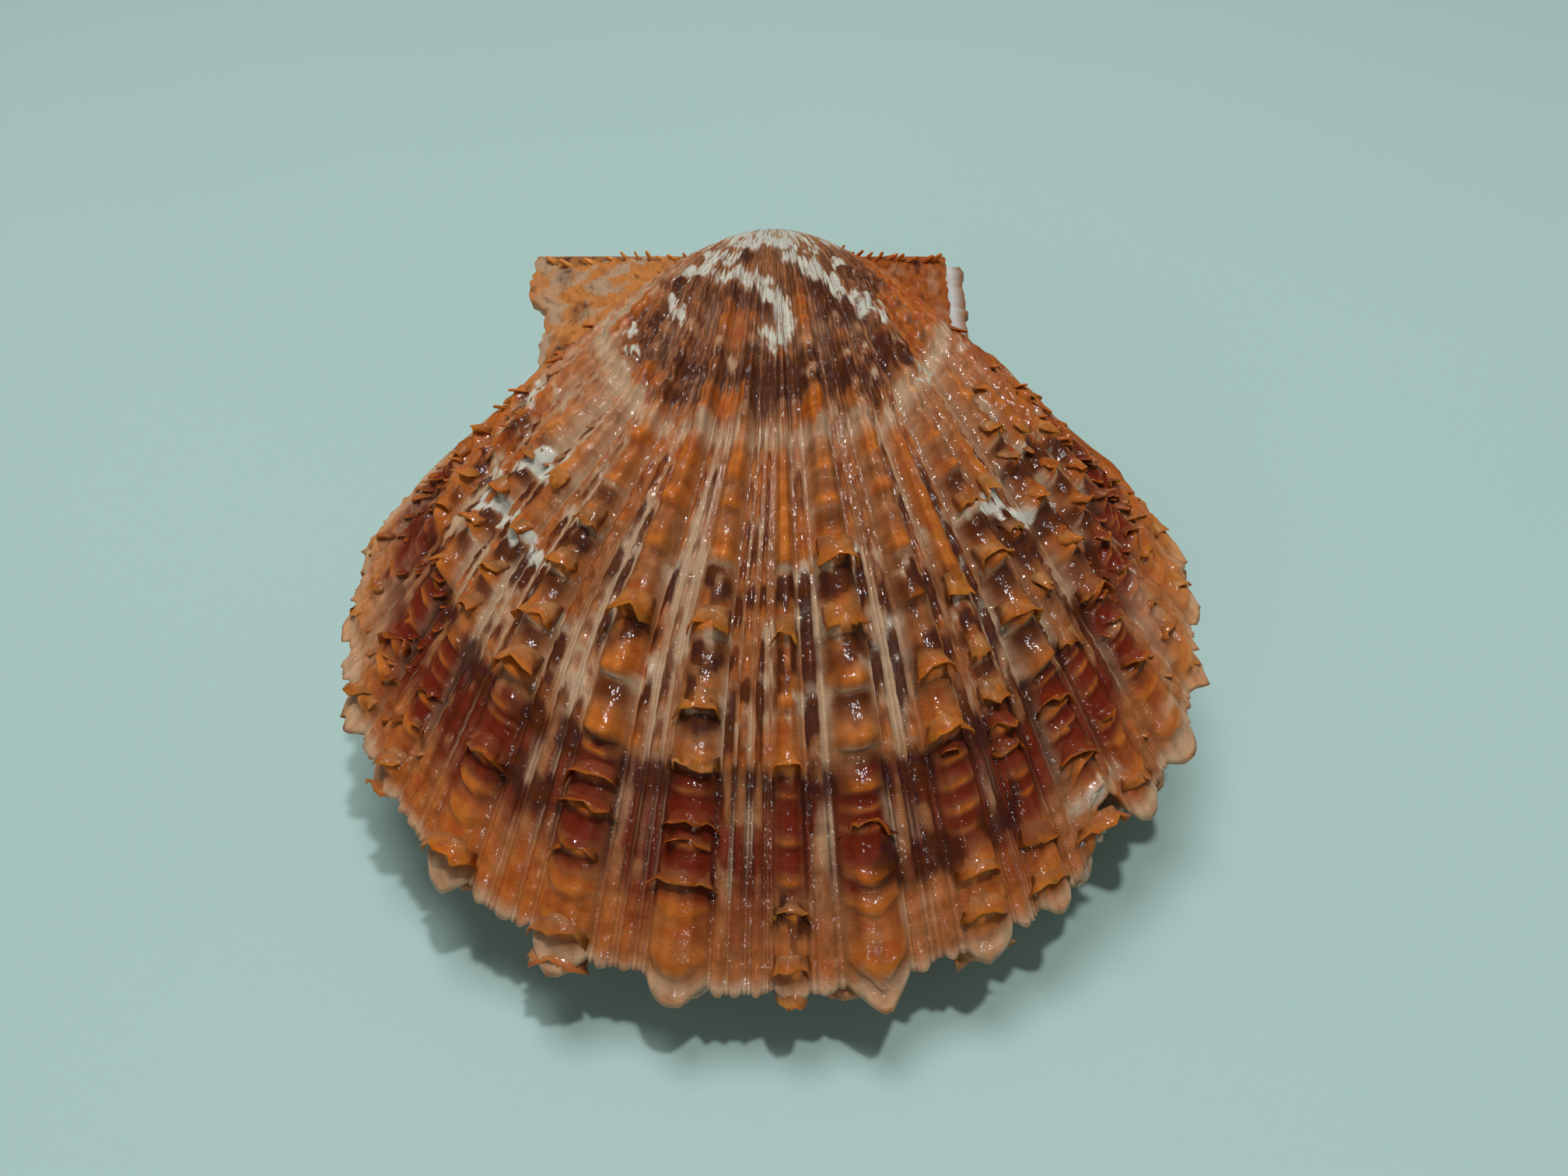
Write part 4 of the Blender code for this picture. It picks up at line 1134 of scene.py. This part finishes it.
def seed_points(name, valve, places, colour, placed):
    """A mesh of bare points, one for each free scale, with its directions, span and colours."""
    to_world = SHELL_TO_WORLD @ placed
    ground = moved(valve_point(np.radians(places[:, 0]), places[:, 1], valve), to_world)[:, 2]
    line, lip, half, arch, reach, chance = places[ground > FLOOR_CLEARANCE].T
    lip = lip * on_ribs(line, lip, valve)["end"]

    def crest(growth):
        """Points on the finished rib lines, with the way out and the bearing there."""
        angle = rib_bearing(line, growth)
        ray = np.radians(angle)
        out = outwards(ray, growth, valve)
        height = relief(angle, growth, valve, on_ribs(line, growth, valve))
        return valve_point(ray, growth, valve) + out * height[:, None], out, angle

    root, out, angle = crest(lip - reach)
    edge, _, _ = crest(lip - 0.003)
    run = edge - root
    length = np.linalg.norm(run, axis=-1)
    overhang = 0.00015 + 0.00045 * chance
    overhang *= np.clip(arch / 0.0012, 0.2, 1.3) * np.clip(reach / LONGEST_SCALE, 0.5, 1.0)
    ray = np.radians(angle)
    degree = radians(1.0) * np.maximum(disc_reach(ray, lip), ear_reach(ray, valve)) * lip
    turn = np.array(to_world.to_3x3())
    sunk = root - out * (arch * SUNK_SHARE)[:, None]
    mesh = bpy.data.meshes.new(name)
    mesh.from_pydata(moved(sunk, to_world).tolist(), [], [])
    along = run / length[:, None]
    notes = {"along": along @ turn.T, "out": out @ turn.T,
             "span": np.stack([half * degree, length + overhang, arch], -1)}
    for key, values in notes.items():
        layer = mesh.attributes.new(key, "FLOAT_VECTOR", "POINT")
        layer.data.foreach_set("vector", np.ascontiguousarray(values, np.float32).ravel())
    middle = lip - reach * 0.8
    masks = colour(angle, middle, on_ribs(line, middle, valve))
    for key in MASKS:
        store(mesh, key, masks[key] * ON_SCALES.get(key, 1.0))
    return mesh


def set_scales(name, points, form, tree, material):
    """Free scales or spines of one form on their points, as one plain mesh."""
    holder = bpy.data.objects.new(name + "_points", points)
    bpy.context.scene.collection.objects.link(holder)
    modifier = holder.modifiers.new("scales", "NODES")
    modifier.node_group = tree
    given = {**form, "Finish": material}
    for socket in tree.interface.items_tree:
        if socket.in_out == "INPUT" and socket.name in given:
            modifier[socket.identifier] = given[socket.name]
    graph = bpy.context.evaluated_depsgraph_get()
    mesh = bpy.data.meshes.new_from_object(holder.evaluated_get(graph))
    holder.modifiers.remove(modifier)
    bpy.data.objects.remove(holder)
    mesh.name = name
    for key in ("along", "out", "span"):
        if key in mesh.attributes:
            mesh.attributes.remove(mesh.attributes[key])
    thing = bpy.data.objects.new(name, mesh)
    bpy.context.scene.collection.objects.link(thing)
    return thing


# ---------------------------------------------------------------- finishes

class Finish:
    """A procedural material while its nodes are laid out."""

    def __init__(self, name):
        self.material = bpy.data.materials.new(name)
        self.material.use_nodes = True
        self.nodes = self.material.node_tree.nodes
        self.links = self.material.node_tree.links
        self.shader = self.nodes["Principled BSDF"]

    def put(self, socket, value):
        """Set a socket from a number, a colour or another socket."""
        if isinstance(value, bpy.types.NodeSocket):
            self.links.new(value, socket)
        elif isinstance(value, tuple) and len(value) == 3 and socket.type == "RGBA":
            socket.default_value = (*value, 1.0)
        else:
            socket.default_value = value

    def attribute(self, name):
        """A number that the mesh carries at each point."""
        node = self.nodes.new("ShaderNodeAttribute")
        node.attribute_name = name
        return node.outputs["Fac"]

    def on_rays(self, across, along):
        """Coordinates that follow the rays and growth lines."""
        uv = self.nodes.new("ShaderNodeUVMap")
        uv.uv_map = "rays"
        mapping = self.nodes.new("ShaderNodeMapping")
        self.links.new(uv.outputs[0], mapping.inputs["Vector"])
        mapping.inputs["Scale"].default_value = (across, along, 1.0)
        return mapping.outputs[0]

    def in_space(self):
        """Coordinates in the piece's own space, in metres."""
        node = self.nodes.new("ShaderNodeTexCoord")
        return node.outputs["Object"]

    def noise(self, vector, scale, detail=2.0, rough=0.5):
        """Soft noise about 0.5."""
        node = self.nodes.new("ShaderNodeTexNoise")
        self.links.new(vector, node.inputs["Vector"])
        node.inputs["Scale"].default_value = scale
        node.inputs["Detail"].default_value = detail
        node.inputs["Roughness"].default_value = rough
        return node.outputs["Fac"]

    def maths(self, kind, a, b=0.0):
        """A sum on two numbers or sockets."""
        node = self.nodes.new("ShaderNodeMath")
        node.operation = kind
        self.put(node.inputs[0], a)
        self.put(node.inputs[1], b)
        return node.outputs[0]

    def step(self, value, low, high):
        """Smooth step from 0 at low to 1 at high."""
        node = self.nodes.new("ShaderNodeMapRange")
        node.interpolation_type = "SMOOTHSTEP"
        self.put(node.inputs["Value"], value)
        node.inputs["From Min"].default_value = low
        node.inputs["From Max"].default_value = high
        return node.outputs["Result"]

    def between(self, value, low, high):
        """A 0 to 1 value stretched from low to high."""
        node = self.nodes.new("ShaderNodeMapRange")
        self.put(node.inputs["Value"], value)
        node.inputs["To Min"].default_value = low
        node.inputs["To Max"].default_value = high
        return node.outputs["Result"]

    def blend(self, share, first, second, kind="MIX"):
        """A share of the second colour over the first."""
        node = self.nodes.new("ShaderNodeMix")
        node.data_type = "RGBA"
        node.blend_type = kind
        self.put(node.inputs["Factor"], share)
        self.put(node.inputs[6], first)
        self.put(node.inputs[7], second)
        return node.outputs[2]

    def bump(self, height, distance, strength, before=None):
        """A normal bent by a height, over another one where it is given."""
        node = self.nodes.new("ShaderNodeBump")
        node.inputs["Distance"].default_value = distance
        node.inputs["Strength"].default_value = strength
        self.put(node.inputs["Height"], height)
        if before is not None:
            self.links.new(before, node.inputs["Normal"])
        return node.outputs[0]

    def shine(self, roughness, normal, **constants):
        """Sets roughness, normal and the constants of the shader's own sockets."""
        self.put(self.shader.inputs["Roughness"], roughness)
        self.put(self.shader.inputs["Normal"], normal)
        for label, value in constants.items():
            self.shader.inputs[label.replace("_", " ")].default_value = value


def shell_grain(finish, on_scales):
    """The noises of the shell: along its rays on a valve, in space on the free scales."""
    if on_scales:
        space = finish.in_space()
        return {
            "streak": finish.noise(space, 900.0, 3.0),
            "patch": finish.noise(space, 350.0, 3.0),
            "grain": finish.noise(space, 3800.0, 3.0),
            "ripple": finish.noise(space, 2400.0, 1.0),
            "groove": 0.0,
        }
    streak = finish.noise(finish.on_rays(420.0, 95.0), 1.0, 3.0, 0.6)
    soft = finish.noise(finish.on_rays(150.0, 80.0), 1.0, 1.0)
    calm = finish.maths("MULTIPLY", finish.attribute("calm"), finish.maths("SUBTRACT", soft, streak))
    furrow = finish.maths("SUBTRACT", 1.0, finish.attribute("rib"))
    # Groove: 1 where the riblets are low, for the painted shade in the grooves.
    groove = finish.maths("SUBTRACT", 1.0, finish.step(finish.attribute("up"), 0.02, 0.45))
    return {
        "streak": finish.maths("ADD", streak, calm),
        "patch": finish.noise(finish.on_rays(110.0, 62.0), 1.0, 4.0, 0.6),
        "grain": finish.noise(finish.on_rays(1100.0, 520.0), 1.0, 3.0),
        "ripple": finish.noise(finish.on_rays(800.0, 150.0), 1.0, 1.0),
        "groove": finish.maths("MULTIPLY", groove, finish.between(furrow, 0.2, 1.0)),
    }


def shell_colour(finish, tones, noises, on_scales):
    """Tan shell under layers of colour, each where its mask is, with its edges broken up, and painted
    shade in the grooves.
    """
    streak, patch, grain = noises["streak"], noises["patch"], noises["grain"]
    lip = finish.attribute("lip")
    swing = finish.maths("SUBTRACT", streak, 0.5)
    shake = finish.maths("ADD", swing, finish.maths("SUBTRACT", patch, 0.5))
    gritty = finish.maths("SUBTRACT", grain, 0.5)

    def ragged(mask, hold):
        """A mask with its edges broken up by the streaks and patches."""
        return finish.maths("ADD", finish.attribute(mask), finish.maths("MULTIPLY", shake, hold))

    warm = ragged("warm", 0.45)
    stain = ragged("stain", 0.60)
    if on_scales:
        root = finish.maths("SUBTRACT", 1.0, lip)
        warm = finish.maths("SUBTRACT", warm, finish.maths("MULTIPLY", root, 0.7))
        stain = finish.maths("SUBTRACT", stain, finish.maths("MULTIPLY", lip, 0.8))
    ember = finish.step(ragged("ember", 0.50), 0.05, 0.95)
    chalk = finish.maths("MULTIPLY", gritty, 1.2)
    chalk = finish.maths("ADD", chalk, finish.maths("MULTIPLY", shake, 1.7))
    chalk = finish.maths("MULTIPLY", finish.attribute("white"), finish.maths("ADD", chalk, 1.0))
    orange = finish.blend(finish.step(patch, 0.42, 0.66), tones["orange"], tones["rust"])
    dark = finish.blend(finish.step(patch, 0.40, 0.62), tones["purple"], tones["umber"])
    layers = [
        (finish.step(warm, 0.0, 1.0), orange),
        (finish.step(ragged("amber", 0.5), 0.0, 1.0), tones["amber"]),
        (finish.maths("MULTIPLY", ember, 0.95), tones["ember"]),
        (finish.step(ragged("cream", 0.35), 0.05, 1.00), tones["cream"]),
        (finish.maths("MULTIPLY", finish.step(stain, 0.00, 0.95), 0.93), dark),
        (finish.step(chalk, 0.16, 0.78), tones["white"]),
        (finish.maths("MULTIPLY", finish.step(lip, 0.70, 1.0), 0.40), tones["lip"]),
    ]
    colour = finish.blend(finish.step(streak, 0.22, 0.78), tones["brown"], tones["tan"])
    for share, tone in layers:
        colour = finish.blend(share, colour, tone)
    # Brightness follows the streaks and grain, and is darker in the grooves between riblets: painted
    # shade in the grooves.
    shade = finish.maths("SUBTRACT", streak, finish.maths("MULTIPLY", noises["groove"], 1.1))
    shade = finish.between(finish.maths("ADD", shade, gritty), 0.78, 1.18)
    colour = finish.blend(1.0, colour, shade, "MULTIPLY")
    return finish.blend(finish.attribute("inside"), colour, tones["nacre"])


def shell_finish(name, tones, on_scales=False):
    """Waxy, glossy, slightly translucent shell, rough in its grain under a wet-looking coat."""
    finish = Finish(name)
    noises = shell_grain(finish, on_scales)
    grain = noises["grain"]
    finish.put(finish.shader.inputs["Base Color"], shell_colour(finish, tones, noises, on_scales))
    normal = finish.bump(grain, 0.00010, 0.5)
    normal = finish.bump(noises["streak"], 0.00010, 0.35, normal)
    wet = finish.bump(noises["ripple"], 0.00008, 0.9)
    wet = finish.bump(grain, 0.000014, 0.6, wet)
    finish.put(finish.shader.inputs["Coat Normal"], wet)
    uneven = finish.maths("MULTIPLY", finish.maths("ADD", grain, noises["patch"]), 0.5)
    finish.shine(finish.between(uneven, 0.22, 0.62), normal, Specular_IOR_Level=0.03,
                 Coat_Weight=0.30, Coat_Roughness=0.05, Subsurface_Weight=0.30,
                 Subsurface_Scale=0.0008, Subsurface_Radius=(1.0, 0.35, 0.15))
    return finish.material


UPPER_TONES = {
    "tan": (0.40, 0.172, 0.072), "brown": (0.235, 0.078, 0.025), "orange": (0.47, 0.125, 0.016),
    "rust": (0.40, 0.068, 0.006), "cream": (0.55, 0.355, 0.215), "white": (0.60, 0.575, 0.485),
    "ember": (0.150, 0.010, 0.002), "purple": (0.050, 0.011, 0.009), "umber": (0.082, 0.018, 0.003),
    "lip": (0.64, 0.170, 0.012), "amber": (0.76, 0.310, 0.075),
    "nacre": (0.62, 0.62, 0.60),
}
LOWER_TONES = {
    "tan": (0.44, 0.205, 0.085), "brown": (0.29, 0.115, 0.036), "orange": (0.48, 0.165, 0.045),
    "rust": (0.38, 0.115, 0.030), "cream": (0.60, 0.36, 0.20), "white": (0.64, 0.48, 0.35),
    "ember": (0.22, 0.085, 0.03), "purple": (0.17, 0.085, 0.030), "umber": (0.20, 0.090, 0.028),
    "lip": (0.46, 0.21, 0.10), "amber": (0.44, 0.22, 0.08),
    "nacre": (0.62, 0.62, 0.60),
}


def ligament_finish():
    """Dried, horny ligament: dark brown, fibrous across its length."""
    finish = Finish("dried_ligament")
    space = finish.in_space()
    fibre = finish.noise(space, 1400.0, 3.0, 0.6)
    colour = finish.blend(fibre, (0.030, 0.018, 0.012), (0.12, 0.070, 0.035))
    finish.put(finish.shader.inputs["Base Color"], colour)
    finish.shine(finish.between(fibre, 0.35, 0.7), finish.bump(fibre, 0.0001, 0.8))
    return finish.material


# ---------------------------------------------------------------- room, light and camera

FLOOR_RADIUS = 1.6
FLOOR_SIDES = 64
LIT_POINT = Vector((0.0, 0.0, 0.02))
# Lights: name, place, size, power, and whether it gives glints alone.
STUDIO_LIGHTS = [
    ("overhead_softbox", (-0.10, 0.15, 0.75), 0.40, 2.8, False),
    ("key_window", (0.10, -0.05, 0.70), 0.05, 1.8, False),
    ("high_glints", (0.06, 0.02, 0.70), 0.10, 3.0, True),
    ("front_glints", (0.03, -0.48, 0.56), 0.08, 0.6, True),
    ("back_glints", (-0.05, 0.45, 0.60), 0.10, 0.8, True),
    ("front_fill", (-0.35, -0.65, 0.35), 0.50, 0.8, False),
]
CAMERA_PLACE = Vector((0.00097, -0.1047, 0.0928))    # from the hinge, in the shell's own frame
CAMERA_LOOK = Vector((0.0, 0.5764, -0.8172))


def make_floor():
    """A wide, round, pale floor under the shell."""
    mesh = bpy.data.meshes.new("pale_floor")
    turns = [2 * pi * side / FLOOR_SIDES for side in range(FLOOR_SIDES)]
    ring = [(FLOOR_RADIUS * cos(turn), FLOOR_RADIUS * sin(turn), 0.0) for turn in turns]
    mesh.from_pydata(ring, [], [tuple(range(FLOOR_SIDES))])
    finish = Finish("pale_matt_floor")
    cloud = finish.noise(finish.in_space(), 6.0, 2.0)
    finish.put(finish.shader.inputs["Base Color"],
               finish.blend(cloud, (0.40, 0.56, 0.53), (0.44, 0.60, 0.57)))
    finish.shader.inputs["Roughness"].default_value = 0.85
    finish.shader.inputs["Specular IOR Level"].default_value = 0.10
    mesh.materials.append(finish.material)
    floor = bpy.data.objects.new("pale_floor", mesh)
    bpy.context.scene.collection.objects.link(floor)


def area_light(name, place, size, power, glints):
    """A disc of light turned to the shell; one for glints shows only as a reflection in the gloss."""
    lamp = bpy.data.lights.new(name, "AREA")
    lamp.shape = "DISK"
    lamp.size = size
    lamp.energy = power
    thing = bpy.data.objects.new(name, lamp)
    thing.location = place
    thing.rotation_euler = (LIT_POINT - Vector(place)).to_track_quat("-Z", "Y").to_euler()
    thing.visible_glossy = glints
    thing.visible_diffuse = not glints
    bpy.context.scene.collection.objects.link(thing)


def make_light():
    """The studio lights in a pale room."""
    for name, place, size, power, glints in STUDIO_LIGHTS:
        area_light(name, place, size, power, glints)
    world = bpy.data.worlds.new("pale_room")
    world.use_nodes = True
    back = world.node_tree.nodes["Background"]
    back.inputs["Color"].default_value = (0.60, 0.76, 0.73, 1.0)
    back.inputs["Strength"].default_value = 0.14
    bpy.context.scene.world = world


def make_camera():
    """The camera looks over the margin towards the hinge, down on the upper valve."""
    lens = bpy.data.cameras.new("shell_camera")
    lens.lens = 31.4
    lens.sensor_width = 36.0
    lens.clip_start = 0.005
    camera = bpy.data.objects.new("shell_camera", lens)
    camera.location = SHELL_TO_WORLD @ CAMERA_PLACE
    look = SHELL_TO_WORLD.to_3x3() @ CAMERA_LOOK
    camera.rotation_euler = look.to_track_quat("-Z", "Y").to_euler()
    bpy.context.scene.collection.objects.link(camera)
    bpy.context.scene.camera = camera


def keep(piece, node=None):
    """A finished piece of the shell's one body, standing for a solid where it has one."""
    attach(piece, "root")
    if node:
        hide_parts(node)


def set_all_scales(side, valve, colour, placed, tree, material):
    """Every form of free scale and the spines of one valve, each form a piece."""
    sets = [(f"{side}_scales_{kind + 1}", scale_places(valve, kind), form)
            for kind, form in enumerate(SCALE_FORMS)]
    sets.append((f"{side}_spines", spine_places(valve), SPINE_FORM))
    pieces = []
    for name, places, form in sets:
        points = seed_points(name + "_points", valve, places, colour, placed)
        pieces.append(set_scales(name, points, form, tree, material))
    return pieces


def main():
    """The dressed shell, its floor, lights and camera."""
    make_camera()
    here = Matrix.Identity(4)
    upper_shell = shell_finish("waxed_orange_shell", UPPER_TONES)
    upper_scale = shell_finish("orange_scale", UPPER_TONES, on_scales=True)
    lower_shell = shell_finish("pale_tan_shell", LOWER_TONES)
    lower_scale = shell_finish("tan_scale", LOWER_TONES, on_scales=True)
    tree = scale_tree()
    upper = make_valve("upper_shell", UPPER, upper_colour, here, upper_shell)
    lower = make_valve("lower_shell", LOWER, lower_colour, OVER, lower_shell)
    upper_free = set_all_scales("upper", UPPER, upper_colour, here, tree, upper_scale)
    lower_free = set_all_scales("lower", LOWER, lower_colour, OVER, tree, lower_scale)
    keep(upper, "upper_valve")
    keep(lower, "lower_valve")
    for scales in upper_free:
        keep(scales)
    for scales in lower_free:
        keep(scales)
    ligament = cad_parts["hinge_ligament"]
    ligament.data.materials.clear()
    ligament.data.materials.append(ligament_finish())

    make_floor()
    make_light()
    bpy.context.scene.view_settings.view_transform = "Standard"


main()
